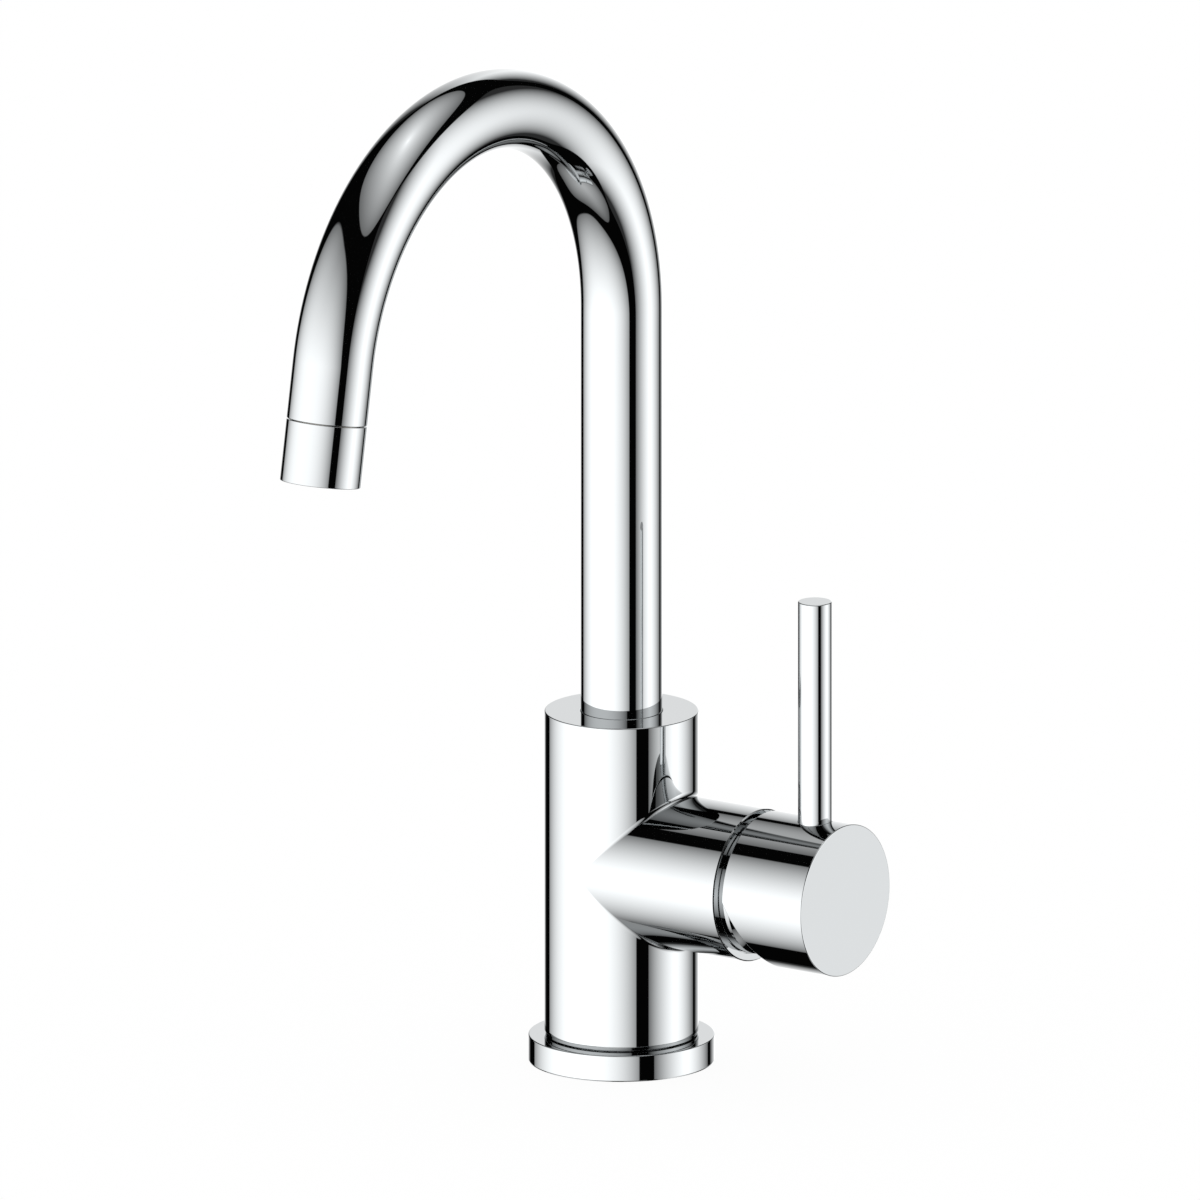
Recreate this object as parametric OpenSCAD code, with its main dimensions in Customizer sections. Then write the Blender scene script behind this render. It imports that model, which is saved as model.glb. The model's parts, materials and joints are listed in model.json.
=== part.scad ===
// Single-lever gooseneck bar faucet with a swivel spout and a ceramic-disc cartridge.
// +Z is up. The spout reaches towards -Y and the handle's branch lies along +X.
// The origin is the centre of the base's underside, on the deck. Lengths are in millimetres.

/* [Body] */
// Diameter that the column, the branch and the handle cap share, so that they meet in a mitre
body_d = 48; // [46:0.5:56]
// Height of the column's top face above the deck
body_h = 112.2; // [108:0.2:150]
// Height of the branch's axis above the deck
branch_z = 63.6; // [58:0.2:66]
// Distance from the column's axis to the end face of the branch
branch_l = 52; // [49:0.5:64]
// Wall round the recess in the column's underside
body_wall = 5.5; // [4.5:0.1:8]
// Height of the roof of that recess above the deck, where the inlets start
recess_h = 30; // [20:1:36]
// Chamfer on the turned edges that show
edge = 0.3; // [0.1:0.1:0.8]
// Depth of the shadow line between the column and the base flange
reveal = 0.6; // [0.2:0.1:1.2]

/* [Base] */
// How far the base flange stands out past the column
flange_step = 5; // [4:0.5:10]
// Height of the base flange
flange_h = 8.3; // [6:0.1:14]
// Step from the column's surface in to the spigot that stands in the flange
spigot_step = 3.5; // [2.5:0.1:4]
// Clear height between the deck and the spigot
spigot_rise = 1; // [0.5:0.5:3]
// Thickness of the gasket under the flange
gasket_t = 1.5; // [1:0.5:3]
// Land of the flange on each side of the gasket
gasket_land = 2; // [1:0.5:2.5]

/* [Inlets] */
// Tapping diameter of the two hose inlets
inlet_d = 9; // [8:0.5:10]
// Depth of the inlet threads
inlet_l = 12; // [8:1:15]
// Distance between the two inlets
inlet_pitch = 19; // [18:0.5:21]
// Distance of the inlets in front of the column's axis, towards the branch
inlet_x = 6; // [4:0.5:8]
// Diameter of the hot and cold risers
riser_d = 8; // [6:0.5:8]
// Tapping diameter of the hole for the fixing stud
stud_d = 6.8; // [5:0.1:8.5]
// Depth of the stud's thread
stud_l = 14; // [8:1:15]
// Distance of the stud behind the column's axis
stud_x = 13; // [10:0.5:14]
// Diameter of the riser that carries the mixed water to the spout
mix_d = 9; // [6:0.5:9]
// Distance of that riser behind the column's axis
mix_x = 5; // [4:0.5:6]

/* [Spout] */
// Outside diameter of the spout tube
tube_d = 25.4; // [24:0.1:28]
// Wall of the spout tube
tube_wall = 1.2; // [0.8:0.1:1.6]
// Height above the deck at which the gooseneck starts to bend
rise_z = 241.9; // [180:1:320]
// Radius of the bend at the tube's axis
arc_r = 78.2; // [50:0.2:120]
// Angle that the bend turns through
arc_angle = 169.4; // [120:0.2:180]
// Straight length of tube from the bend to the aerator's seam
tip_l = 18.3; // [14:0.1:60]
// Width of the seam between tube and aerator
seam = 0.3; // [0.1:0.1:0.8]

/* [Spout bearing] */
// Depth of the socket in the column's top
socket_l = 34; // [30:1:36]
// Height of each slip ring
slip_h = 3; // [2:0.5:4]
// Thickness of the slip rings
slip_t = 1.2; // [0.8:0.1:1.6]
// Cord thickness of the O-rings
o_ring_d = 2; // [1.6:0.1:2.4]
// Land between two grooves of the stem
land = 1.5; // [1:0.1:1.8]
// Bore of the stem
stem_bore_d = 16; // [10:0.5:17]
// Length of the stem's spigot inside the tube
stem_spigot_l = 10; // [6:1:20]
// Diameter of the keeper screw that holds the stem in the socket
keeper_d = 5; // [4:0.5:6]
// Diameter of the keeper screw's tip
keeper_tip_d = 3; // [2:0.5:3.5]
// Depth of the keeper's groove in the stem
keeper_groove = 2.3; // [1.5:0.1:2.6]

/* [Aerator] */
// Length of the aerator shell
aerator_l = 19.4; // [16:0.1:30]
// Wall of the shell round its thread
shell_wall = 1.7; // [1.2:0.1:2.2]
// Width of the lip that carries the aerator core
lip_w = 1; // [0.6:0.1:1.6]
// Height of the lip at the mouth
lip_h = 2; // [1:0.5:3]
// How far the adapter reaches into the tube
adapter_l = 9; // [6:1:12]
// Length of the adapter's thread in the shell
adapter_thread_l = 8; // [5:0.5:8.5]
// Wall of the adapter at its thread
adapter_wall = 1.9; // [1.2:0.1:2.5]
// Thickness of the aerator washer
washer_t = 1.5; // [1:0.1:1.8]
// Thickness of the inlet screen
screen_t = 0.6; // [0.4:0.1:1]
// Diameter of the holes in the aerator core
core_hole_d = 2.1; // [1.4:0.1:2.2]

/* [Cartridge] */
// Diameter of the cartridge
cartridge_d = 35; // [34:0.5:36]
// Depth of the cartridge chamber behind the branch's end face
chamber_l = 33; // [33:0.5:36]
// Clearance between cartridge and chamber
chamber_gap = 0.15; // [0.05:0.05:0.3]
// Thickness of the cartridge base
base_t = 4.5; // [3.5:0.5:6]
// Diameter of the fixed ceramic disc
fixed_d = 27.8; // [27:0.1:28.4]
// Thickness of the fixed ceramic disc
fixed_t = 3.5; // [2.5:0.1:4]
// Diameter of the moving ceramic disc
moving_d = 21; // [20.6:0.1:21.6]
// Thickness of the moving ceramic disc
moving_t = 3; // [2.6:0.1:3.6]
// Thickness of the carrier that drives the moving disc
carrier_t = 4; // [3.5:0.1:4.5]
// Width of the carrier's rail in the turret
rail_w = 9; // [8:0.5:10]
// Height of the carrier's rail
rail_h = 2; // [1.5:0.1:2.2]
// Distance from the tilt pin to the ball that slides the carrier
arm_l = 6.5; // [6:0.1:6.8]
// Diameter of that ball
ball_d = 4.6; // [4:0.1:4.8]
// Diameter of the tilt pin
pin_d = 3; // [2.5:0.1:3.4]
// Width of the square control stem
stem_w = 8; // [7:0.1:8.4]
// Diameter of the turning turret
turret_d = 24.8; // [24:0.1:25.6]
// Diameter of the water ports to the two inlets
port_d = 6; // [5:0.1:6.2]
// Diameter of the outlet port
outlet_d = 6.8; // [5.6:0.1:7]
// Thread diameter of the nut that clamps the cartridge
nut_d = 37.8; // [37.4:0.1:39]
// Width across the flats of the nut
nut_flats = 30; // [29.5:0.1:30.6]

/* [Handle] */
// Gap between the branch and the handle cap, where the trim collar shows
cap_gap = 3.2; // [2.8:0.1:4.5]
// Length of the handle cap
cap_l = 30.2; // [28:0.2:40]
// Wall of the handle cap
cap_wall = 2.1; // [1.6:0.1:2.4]
// Thickness of the handle cap's end
cap_end = 2.4; // [1.8:0.1:4]
// Space between the trim collar and the bore of the handle cap
collar_gap = 0.7; // [0.5:0.1:0.9]
// Wall of the trim collar
collar_wall = 1.6; // [1.2:0.1:2]
// Diameter of the lever rod
rod_d = 10.6; // [8:0.2:12]
// Length of the lever rod that stands above the cap
rod_l = 70.5; // [40:0.5:90]
// Distance from the rod's axis to the cap's end face
rod_setback = 11.6; // [10:0.1:13]
// Depth of the rod's seat below the crest of the cap
rod_seat = 5; // [4:0.5:7]
// Diameter of the hub that grips the control stem
hub_d = 16; // [14:0.5:17]
// Diameter of the handle's grub screw
grub_d = 5; // [4:0.5:6]

/* [Motion] */
// Angle that the lever tilts outwards to open the water
tilt_max = 25; // [20:1:25]

/* [Fits] */
// Running clearance on a radius
run_fit = 0.05; // [0.02:0.01:0.08]
// Clearance on the radius of pieces that are screwed or pressed together
seat_fit = 0.05; // [0.02:0.01:0.1]
// Space between pieces that pass each other
free_gap = 0.3; // [0.25:0.05:0.4]

/* [Hidden] */
$fn = 96;

// How far a cut runs past the face that it opens
over = 1;
// Depth of the hexagonal key recess in a screw
key_depth = 3;

body_r = body_d / 2;
spigot_r = body_r - spigot_step;
recess_r = body_r - body_wall;
flange_r = body_r + flange_step;
gasket_r = flange_r - gasket_land;
gasket_bore_r = spigot_r + gasket_land;

// Spout bearing, from the floor of the socket up
tube_r = tube_d / 2;
tube_bore_r = tube_r - tube_wall;
// How much thinner the wall is, on each side, where the tube's end is sized for the adapter
sizing = 0.05;
socket_r = tube_r + run_fit;
socket_z = body_h - socket_l;
stem_r = tube_r - free_gap;
stem_z = socket_z + free_gap;
o_groove_h = o_ring_d + 2 * free_gap;
o_groove_r = socket_r - run_fit - o_ring_d - seat_fit;
slip_groove_r = socket_r - run_fit - slip_t - seat_fit;
keeper_groove_h = keeper_tip_d + 2 * free_gap;
keeper_sink = 1.2;
lower_slip_z = stem_z + land;
lower_o_z = lower_slip_z + slip_h + land;
upper_o_z = lower_o_z + o_groove_h + land;
keeper_groove_z = upper_o_z + o_groove_h + land;
keeper_z = keeper_groove_z + keeper_groove_h / 2;
upper_slip_z = keeper_groove_z + keeper_groove_h + land;
tube_z = upper_slip_z + slip_h + land;

// Aerator, counted along the spout from the end of the bend
shell_s = tip_l + seam;
mouth_s = shell_s + aerator_l;
lip_s = mouth_s - lip_h;
thread_r = tube_r - shell_wall;
lip_r = thread_r - lip_w;
nose_s = shell_s + adapter_thread_l;
nose_r = thread_r - seat_fit;
nose_bore_r = nose_r - adapter_wall;
core_s = nose_s + washer_t;
screen_r = nose_bore_r + 1;
screen_hole_d = 1;
screen_pitch = 1.9;
screen_rings = 4;
core_recess = 1;
core_rings = 3;
core_land = 1.45;
core_pitch = (lip_r - core_land - core_hole_d / 2) / core_rings;

// Cartridge stack, counted outwards along the branch from the chamber's floor
chamber_x = branch_l - chamber_l;
cartridge_r = cartridge_d / 2;
chamber_r = cartridge_r + chamber_gap;
rim_t = 1;
plug_r = cartridge_r - 1.5;
peg_r = 1.5;
peg_l = 3;
peg_down = 3;
peg_across = 13;
key_r = 1.2;
dog_r = 1.2;
dog_l = 1.2;
dog_across = 8.4;
disc_z = base_t + fixed_t;
carrier_z = disc_z + moving_t;
rail_z = carrier_z + carrier_t;
rail_top_z = rail_z + rail_h;
pivot_rise = 4;
pivot_z = rail_top_z + pivot_rise;
ball_z = pivot_z - arm_l;
turret_r = turret_d / 2;
turret_z = rail_z + free_gap;
turret_lip = 1;
turret_flange_r = turret_r + turret_lip;
turret_flange_t = 2.7;
shoulder_z = turret_z + turret_flange_t + free_gap;
shell_sink = 6;
shell_top_z = chamber_l - shell_sink;
neck_wall = 2.1;
neck_h = 3;
neck_r = turret_r + neck_wall;
neck_z = shell_top_z + neck_h;
turret_stand = 0.5;
turret_top_z = neck_z + turret_stand;
barrel_wall = 2;
barrel_r = pin_d / 2 + barrel_wall;
fixed_r = fixed_d / 2;
moving_r = moving_d / 2;
carrier_step = 0.5;
carrier_r = moving_r - carrier_step;
rail_short = 0.4;
pocket_side_gap = 0.5;
pin_sink = 1;
fixed_bore_r = fixed_r + seat_fit;

// Water ports, on the cartridge's face: [up, across]
inlet_port_r = 7.5;
inlet_port_angle = 45;
inlet_port_sweep = 20;
inlet_up = inlet_port_r * cos(inlet_port_angle);
inlet_across = inlet_port_r * sin(inlet_port_angle);
outlet_down = 5.4;
seal_wall = 1.4;

// Nut, collar and handle, counted in the same way
mouth_r = nut_d / 2 + seat_fit;
nut_corner_r = nut_flats / 2 / cos(30);
nut_thread_t = 4;
nut_hex_t = 3;
collar_z = shell_top_z + nut_thread_t + free_gap;
cap_z = chamber_l + cap_gap;
cap_bore_r = body_r - cap_wall;
collar_r = cap_bore_r - collar_gap;
dome_gap = 0.5;
dome_r = norm([cap_z - pivot_z, cap_bore_r]) - dome_gap;
cap_top_z = cap_z + cap_l;
hub_gap = 0.8;
hub_z = pivot_z + dome_r + hub_gap;
hub_floor = 3;
stem_tip_z = cap_top_z - cap_end - hub_floor;
stem_tip_gap = 0.5;
hub_r = hub_d / 2;
rod_z = cap_top_z - rod_setback;
rod_x = chamber_x + rod_z;
rod_r = rod_d / 2;
rod_boss_wall = 1.7;
rod_seat_x = body_r - rod_seat;
stud_r = 3;
stud_tip_x = stem_w / 2 + 5;
stud_tip_gap = 0.5;
plug_step = 0.5;
plug_d = grub_d + 2 * plug_step;
plug_seat_x = cap_bore_r - 1;
plug_boss_wall = 2;
plug_sink = 0.5;
grub_l = 8;
relief_angle = tilt_max + 1.5;

// The collar's hole clears the control stem, which leans where the dome has fallen from its crown
collar_hole_fall = 5;
collar_hole_gap = 1.6;
collar_hole_r = (dome_r - collar_hole_fall) * tan(tilt_max) + stem_w / 2 / cos(tilt_max) + collar_hole_gap;

// A turned solid on Z with a chamfer at its foot and its crown
module turned(r, h, foot = 0, crown = 0) {
  rotate_extrude() polygon(concat(
    [[0, 0]],
    foot > 0 ? [[r - foot, 0], [r, foot]] : [[r, 0]],
    crown > 0 ? [[r, h - crown], [r - crown, h]] : [[r, h]],
    [[0, h]]
  ));
}

// A ring on Z
module ring(outer_r, inner_r, h) {
  difference() {
    cylinder(r = outer_r, h = h);
    translate([0, 0, -over]) cylinder(r = inner_r, h = h + 2 * over);
  }
}

// A hexagonal recess for a key, cut down from z = 0
module key_recess(flats, depth) {
  translate([0, 0, -depth]) cylinder(d = flats / cos(30), h = depth + over, $fn = 6);
}

// A slot with round ends that follows an arc about the origin, as a flat outline
module arc_slot(r, w, from, to) {
  reach = 4 * r;
  intersection() {
    difference() {
      circle(r = r + w / 2);
      circle(r = r - w / 2);
    }
    polygon([[0, 0], [reach * cos(from), reach * sin(from)], [reach * cos(to), reach * sin(to)]]);
  }
  for (end = [from, to]) rotate([0, 0, end]) translate([r, 0]) circle(r = w / 2);
}

// Places what is drawn on Z along the branch: z runs outwards from the chamber's floor, x points up
module along_branch() {
  translate([chamber_x, 0, branch_z]) rotate([0, 90, 0]) rotate([0, 0, 180]) children();
}

// Places what is drawn on Z at the end of the gooseneck: z runs with the water
module at_tip() {
  translate([0, -arc_r, rise_z]) rotate([arc_angle, 0, 0]) translate([0, arc_r, 0]) children();
}

// The centres of the cartridge's ports
module at_inlet_ports() {
  for (side = [-1, 1]) translate([inlet_up, side * inlet_across, 0]) children();
}

module at_outlet_port() {
  translate([-outlet_down, 0, 0]) children();
}

module base_flange() {
  color("gainsboro") difference() {
    turned(flange_r, flange_h, 0, edge);
    translate([0, 0, -over]) cylinder(r = spigot_r + seat_fit, h = flange_h + 2 * over);
    translate([0, 0, -over]) ring(gasket_r, gasket_bore_r, gasket_t + over);
  }
}

module base_gasket() {
  color("dimgray") ring(gasket_r - seat_fit, gasket_bore_r + seat_fit, gasket_t);
}

// The outside of the column: a spigot in the flange, a shadow line and the tall turned shaft
module column() {
  rotate_extrude() polygon([
    [0, spigot_rise],
    [spigot_r, spigot_rise],
    [spigot_r, flange_h],
    [body_r - reveal, flange_h],
    [body_r - reveal, flange_h + reveal],
    [body_r, flange_h + reveal],
    [body_r, body_h - edge],
    [body_r - edge, body_h],
    [0, body_h],
  ]);
}

// The region in front of the two mitre planes, where the branch takes over from the column
module mitre_wedge() {
  reach = branch_l + body_d;
  translate([0, 0, branch_z]) rotate([90, 0, 0]) translate([0, 0, -body_d])
    linear_extrude(2 * body_d) polygon([[0, 0], [reach, -reach], [reach, reach]]);
}

module waterways() {
  inlet_z = branch_z + inlet_up;
  mix_z = branch_z - outlet_down;
  for (side = [-1, 1]) {
    translate([inlet_x, side * inlet_pitch / 2, recess_h - over]) cylinder(d = inlet_d, h = inlet_l + over);
    translate([inlet_x, side * inlet_pitch / 2, recess_h])
      cylinder(d = riser_d, h = inlet_z + port_d / 2 - recess_h);
    translate([inlet_x, side * inlet_across, inlet_z]) rotate([0, 90, 0])
      cylinder(d = port_d, h = chamber_x - inlet_x + over);
  }
  translate([-mix_x, 0, mix_z]) rotate([0, 90, 0]) cylinder(d = outlet_d, h = chamber_x + mix_x + over);
  translate([-mix_x, 0, mix_z - outlet_d / 2])
    cylinder(d = mix_d, h = socket_z - mix_z + outlet_d / 2 + over);
}

module faucet_body() {
  color("gainsboro") difference() {
    union() {
      difference() {
        column();
        mitre_wedge();
      }
      intersection() {
        translate([0, 0, branch_z]) rotate([0, 90, 0]) turned(body_r, branch_l, 0, edge);
        mitre_wedge();
      }
    }
    translate([0, 0, -over]) cylinder(r = recess_r, h = recess_h + over);
    translate([-stud_x, 0, recess_h - over]) cylinder(d = stud_d, h = stud_l + over);
    waterways();
    translate([0, 0, socket_z]) cylinder(r = socket_r, h = socket_l + over);
    translate([0, 0, body_h - edge]) cylinder(r1 = socket_r, r2 = socket_r + edge + over, h = edge + over);
    along_branch() {
      cylinder(r = chamber_r, h = chamber_l + over);
      translate([0, 0, shell_top_z - over]) cylinder(r = mouth_r, h = chamber_l);
      at_pegs() cylinder(r = peg_r + seat_fit, h = peg_l + free_gap + over);
    }
    translate([0, body_r + over, keeper_z]) rotate([90, 0, 0])
      cylinder(r = keeper_d / 2 + seat_fit, h = body_r + over);
  }
}

// The keeper screw comes in from the back and its tip runs in the stem's groove
module keeper_screw() {
  tip_y = socket_r - keeper_groove + 2 * free_gap;
  shank_y = socket_r + free_gap;
  head_y = body_r - keeper_sink;
  color("silver") translate([0, tip_y, keeper_z]) rotate([-90, 0, 0]) difference() {
    union() {
      cylinder(d = keeper_tip_d, h = shank_y - tip_y);
      translate([0, 0, shank_y - tip_y]) cylinder(d = keeper_d, h = head_y - shank_y);
    }
    translate([0, 0, head_y - tip_y]) key_recess(keeper_d / 2, key_depth);
  }
}

// The turned brass stem that is brazed into the tube and turns in the column's socket
module spout_stem() {
  groove_out = stem_r + over;
  color("goldenrod") difference() {
    union() {
      translate([0, 0, stem_z]) cylinder(r = stem_r, h = tube_z - stem_z);
      translate([0, 0, tube_z - over]) cylinder(r = tube_bore_r - seat_fit, h = stem_spigot_l + over);
    }
    translate([0, 0, stem_z - over])
      cylinder(d = stem_bore_d, h = tube_z - stem_z + stem_spigot_l + 2 * over);
    translate([0, 0, lower_slip_z]) ring(groove_out, slip_groove_r, slip_h + 2 * seat_fit);
    translate([0, 0, upper_slip_z]) ring(groove_out, slip_groove_r, slip_h + 2 * seat_fit);
    translate([0, 0, lower_o_z]) ring(groove_out, o_groove_r, o_groove_h);
    translate([0, 0, upper_o_z]) ring(groove_out, o_groove_r, o_groove_h);
    translate([0, 0, keeper_groove_z]) ring(groove_out, socket_r - keeper_groove, keeper_groove_h);
  }
}

// A split bearing ring in a groove of the stem
module slip_ring(z) {
  split_w = 1.2;
  outer_r = socket_r - run_fit;
  translate([0, 0, z + seat_fit]) difference() {
    ring(outer_r, slip_groove_r + seat_fit, slip_h);
    translate([0, -split_w / 2, -over]) cube([outer_r + over, split_w, slip_h + 2 * over]);
  }
}

module lower_slip_ring() {
  color("white") slip_ring(lower_slip_z);
}

module upper_slip_ring() {
  color("white") slip_ring(upper_slip_z);
}

module spout_o_rings() {
  for (z = [lower_o_z, upper_o_z]) color("dimgray") translate([0, 0, z + o_groove_h / 2])
    rotate_extrude() translate([socket_r - run_fit - o_ring_d / 2, 0]) circle(d = o_ring_d);
}

// The section of the spout tube, with its wall thinned on each side
module tube_section(thinned = 0) {
  difference() {
    circle(r = tube_r - thinned);
    circle(r = tube_bore_r + thinned);
  }
}

// One bent tube: a straight rise, the gooseneck's arc and a short straight end. The end's wall is
// sized a little thinner, so that it starts inside the wall of the bend.
module spout_tube() {
  color("gainsboro") union() {
    translate([0, 0, tube_z]) linear_extrude(rise_z - tube_z) tube_section();
    translate([0, -arc_r, rise_z]) rotate([90, 0, 90])
      rotate_extrude(angle = arc_angle) translate([arc_r, 0]) tube_section();
    at_tip() translate([0, 0, -over]) linear_extrude(tip_l + over) tube_section(sizing);
  }
}

// The threaded bush that is brazed into the end of the tube and carries the aerator
module tip_adapter() {
  color("goldenrod") at_tip() translate([0, 0, tip_l - adapter_l]) difference() {
    union() {
      cylinder(r = tube_bore_r - seat_fit, h = adapter_l);
      translate([0, 0, adapter_l - over]) cylinder(r = nose_r, h = nose_s - tip_l + over);
    }
    translate([0, 0, -over]) cylinder(r = nose_bore_r, h = nose_s - tip_l + adapter_l + 2 * over);
  }
}

module aerator_washer() {
  color("dimgray") at_tip() translate([0, 0, nose_s]) ring(nose_r, nose_bore_r, washer_t);
}

// Rings of round holes about the axis: one in the middle, then 6, 12, 18 and so on
module hole_rings(hole_d, pitch, rings, h) {
  translate([0, 0, -over]) cylinder(d = hole_d, h = h + 2 * over, $fn = 24);
  for (n = [1:rings], k = [0:6 * n - 1]) rotate([0, 0, k * 60 / n]) translate([n * pitch, 0, -over])
    cylinder(d = hole_d, h = h + 2 * over, $fn = 24);
}

module aerator_screen() {
  color("silver") at_tip() translate([0, 0, core_s + seat_fit]) difference() {
    cylinder(r = screen_r, h = screen_t);
    hole_rings(screen_hole_d, screen_pitch, screen_rings, screen_t);
  }
}

// The moulded core: a screen seat on top, a shoulder on the shell's lip and a field of water holes
module aerator_core() {
  body_l = lip_s - core_s;
  core_l = mouth_s - core_recess - core_s;
  seat_l = screen_t + 2 * seat_fit;
  color("whitesmoke") at_tip() translate([0, 0, core_s]) difference() {
    union() {
      cylinder(r = nose_r, h = body_l);
      cylinder(r = lip_r - seat_fit, h = core_l);
    }
    translate([0, 0, -over]) cylinder(r = screen_r + seat_fit, h = seat_l + over);
    hole_rings(core_hole_d, core_pitch, core_rings, core_l);
  }
}

module aerator_shell() {
  color("gainsboro") at_tip() translate([0, 0, shell_s]) difference() {
    turned(tube_r, aerator_l, 0, edge);
    translate([0, 0, -over]) cylinder(r = thread_r, h = aerator_l - lip_h + over);
    cylinder(r = lip_r, h = aerator_l + over);
  }
}

// Two pegs keep the cartridge from turning in its chamber
module at_pegs() {
  for (side = [-1, 1]) translate([-peg_down, side * peg_across, -peg_l - free_gap]) children();
}

module cartridge_base() {
  color("ivory") along_branch() difference() {
    union() {
      cylinder(r = cartridge_r, h = rim_t);
      cylinder(r = plug_r, h = base_t);
      at_pegs() translate([0, 0, free_gap]) cylinder(r = peg_r, h = peg_l + over);
    }
    translate([0, 0, -over]) {
      at_inlet_ports() cylinder(r = port_d / 2 + seal_wall + seat_fit, h = base_t + 2 * over);
      at_outlet_port() cylinder(r = outlet_d / 2 + seal_wall + seat_fit, h = base_t + 2 * over);
    }
  }
}

// Rubber sleeves seal the ports between the chamber's floor and the fixed disc
module inlet_seals() {
  color("dimgray") along_branch() at_inlet_ports() ring(port_d / 2 + seal_wall, port_d / 2, base_t);
}

module outlet_seal() {
  color("dimgray") along_branch() at_outlet_port() ring(outlet_d / 2 + seal_wall, outlet_d / 2, base_t);
}

module fixed_disc() {
  color("white") along_branch() translate([0, 0, base_t]) difference() {
    cylinder(r = fixed_r, h = fixed_t);
    translate([0, 0, -over]) linear_extrude(fixed_t + 2 * over)
      for (middle = [-inlet_port_angle, inlet_port_angle])
        arc_slot(inlet_port_r, port_d / 2, middle - inlet_port_sweep, middle + inlet_port_sweep);
    translate([0, 0, -over]) at_outlet_port() cylinder(d = outlet_d, h = fixed_t + 2 * over);
    for (side = [-1, 1]) translate([0, side * fixed_r, -over])
      cylinder(r = key_r + seat_fit, h = fixed_t + 2 * over);
  }
}

// Two dogs drive the moving disc
module at_dogs() {
  for (side = [-1, 1]) translate([0, side * dog_across, 0]) children();
}

// The moving disc has a blind chamber that joins the open ports when the disc slides up
module moving_disc() {
  mix_chamber_r = 6.8;
  mix_chamber_down = 2.6;
  mix_chamber_t = 1.7;
  color("white") along_branch() translate([0, 0, disc_z]) difference() {
    cylinder(r = moving_r, h = moving_t);
    translate([-mix_chamber_down, 0, -over]) cylinder(r = mix_chamber_r, h = mix_chamber_t + over);
    at_dogs() translate([0, 0, moving_t - dog_l - seat_fit])
      cylinder(r = dog_r + seat_fit, h = dog_l + seat_fit + over);
  }
}

// The carrier slides in the turret's groove and holds the moving disc by two dogs
module disc_carrier() {
  rail_l = 2 * sqrt(pow(carrier_r, 2) - pow(rail_w / 2, 2)) - rail_short;
  ball_space = ball_d / 2 + free_gap;
  flare = 1.2;
  color("ivory") along_branch() difference() {
    union() {
      translate([0, 0, carrier_z]) cylinder(r = carrier_r, h = carrier_t);
      translate([-rail_l / 2, -rail_w / 2, rail_z - over]) cube([rail_l, rail_w, rail_h + over]);
      translate([0, 0, carrier_z - dog_l]) at_dogs() cylinder(r = dog_r, h = dog_l + over);
    }
    rotate_extrude() polygon([
      [0, ball_z - ball_space],
      [ball_space, ball_z - ball_space],
      [ball_space, ball_z],
      [ball_space + flare, rail_top_z],
      [ball_space + flare, rail_top_z + over],
      [0, rail_top_z + over],
    ]);
  }
}

// The turret turns with the handle, guides the carrier and holds the tilt pin
module turret() {
  pocket_w = stem_w + 2 * pocket_side_gap;
  pocket_up = stem_w / 2 + 2 * free_gap;
  pocket_down = (turret_top_z - pivot_z) * tan(tilt_max) + stem_w / 2 / cos(tilt_max) + free_gap;
  groove_w = rail_w + 2 * free_gap;
  groove_z = rail_top_z + free_gap;
  color("whitesmoke") along_branch() difference() {
    union() {
      translate([0, 0, turret_z]) cylinder(r = turret_flange_r, h = turret_flange_t);
      translate([0, 0, turret_z]) cylinder(r = turret_r, h = turret_top_z - turret_z);
    }
    translate([-turret_flange_r - over, -groove_w / 2, turret_z - over])
      cube([2 * turret_flange_r + 2 * over, groove_w, groove_z - turret_z + over]);
    translate([-pocket_down, -pocket_w / 2, groove_z - over])
      cube([pocket_down + pocket_up, pocket_w, turret_top_z - groove_z + 2 * over]);
    translate([0, -turret_r - over, pivot_z]) rotate([-90, 0, 0])
      cylinder(r = pin_d / 2, h = 2 * turret_r + 2 * over);
  }
}

module tilt_pin() {
  pin_l = turret_d - 2 * pin_sink;
  color("silver") along_branch() translate([0, -pin_l / 2, pivot_z]) rotate([-90, 0, 0])
    cylinder(d = pin_d, h = pin_l);
}

// The lever of the cartridge: a square stem outside the pin, an arm with a ball inside it
module control_stem() {
  arm_r = 1.6;
  stem_base_z = pivot_z + pin_d / 2;
  color("goldenrod") along_branch() difference() {
    union() {
      translate([-stem_w / 2, -stem_w / 2, stem_base_z]) cube([stem_w, stem_w, stem_tip_z - stem_base_z]);
      translate([0, -stem_w / 2, pivot_z]) rotate([-90, 0, 0]) cylinder(r = barrel_r, h = stem_w);
      translate([0, 0, ball_z]) cylinder(r = arm_r, h = arm_l);
      translate([0, 0, ball_z]) sphere(d = ball_d);
    }
    translate([0, -stem_w, pivot_z]) rotate([-90, 0, 0]) cylinder(r = pin_d / 2 + run_fit, h = 2 * stem_w);
  }
}

module cartridge_shell() {
  color("ivory") along_branch() difference() {
    union() {
      translate([0, 0, rim_t]) cylinder(r = cartridge_r, h = shell_top_z - rim_t);
      cylinder(r = neck_r, h = neck_z);
    }
    translate([0, 0, -over]) cylinder(r = plug_r + seat_fit, h = base_t + over);
    difference() {
      cylinder(r = fixed_bore_r, h = shoulder_z);
      for (side = [-1, 1]) translate([0, side * fixed_r, base_t]) cylinder(r = key_r, h = fixed_t - seat_fit);
    }
    cylinder(r = turret_r + run_fit, h = neck_z + over);
  }
}

module cartridge_nut() {
  color("goldenrod") along_branch() translate([0, 0, shell_top_z]) difference() {
    union() {
      cylinder(d = nut_d, h = nut_thread_t);
      cylinder(r = nut_corner_r, h = nut_thread_t + nut_hex_t, $fn = 6);
    }
    translate([0, 0, -over]) cylinder(r = neck_r + free_gap, h = nut_thread_t + nut_hex_t + 2 * over);
  }
}

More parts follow.
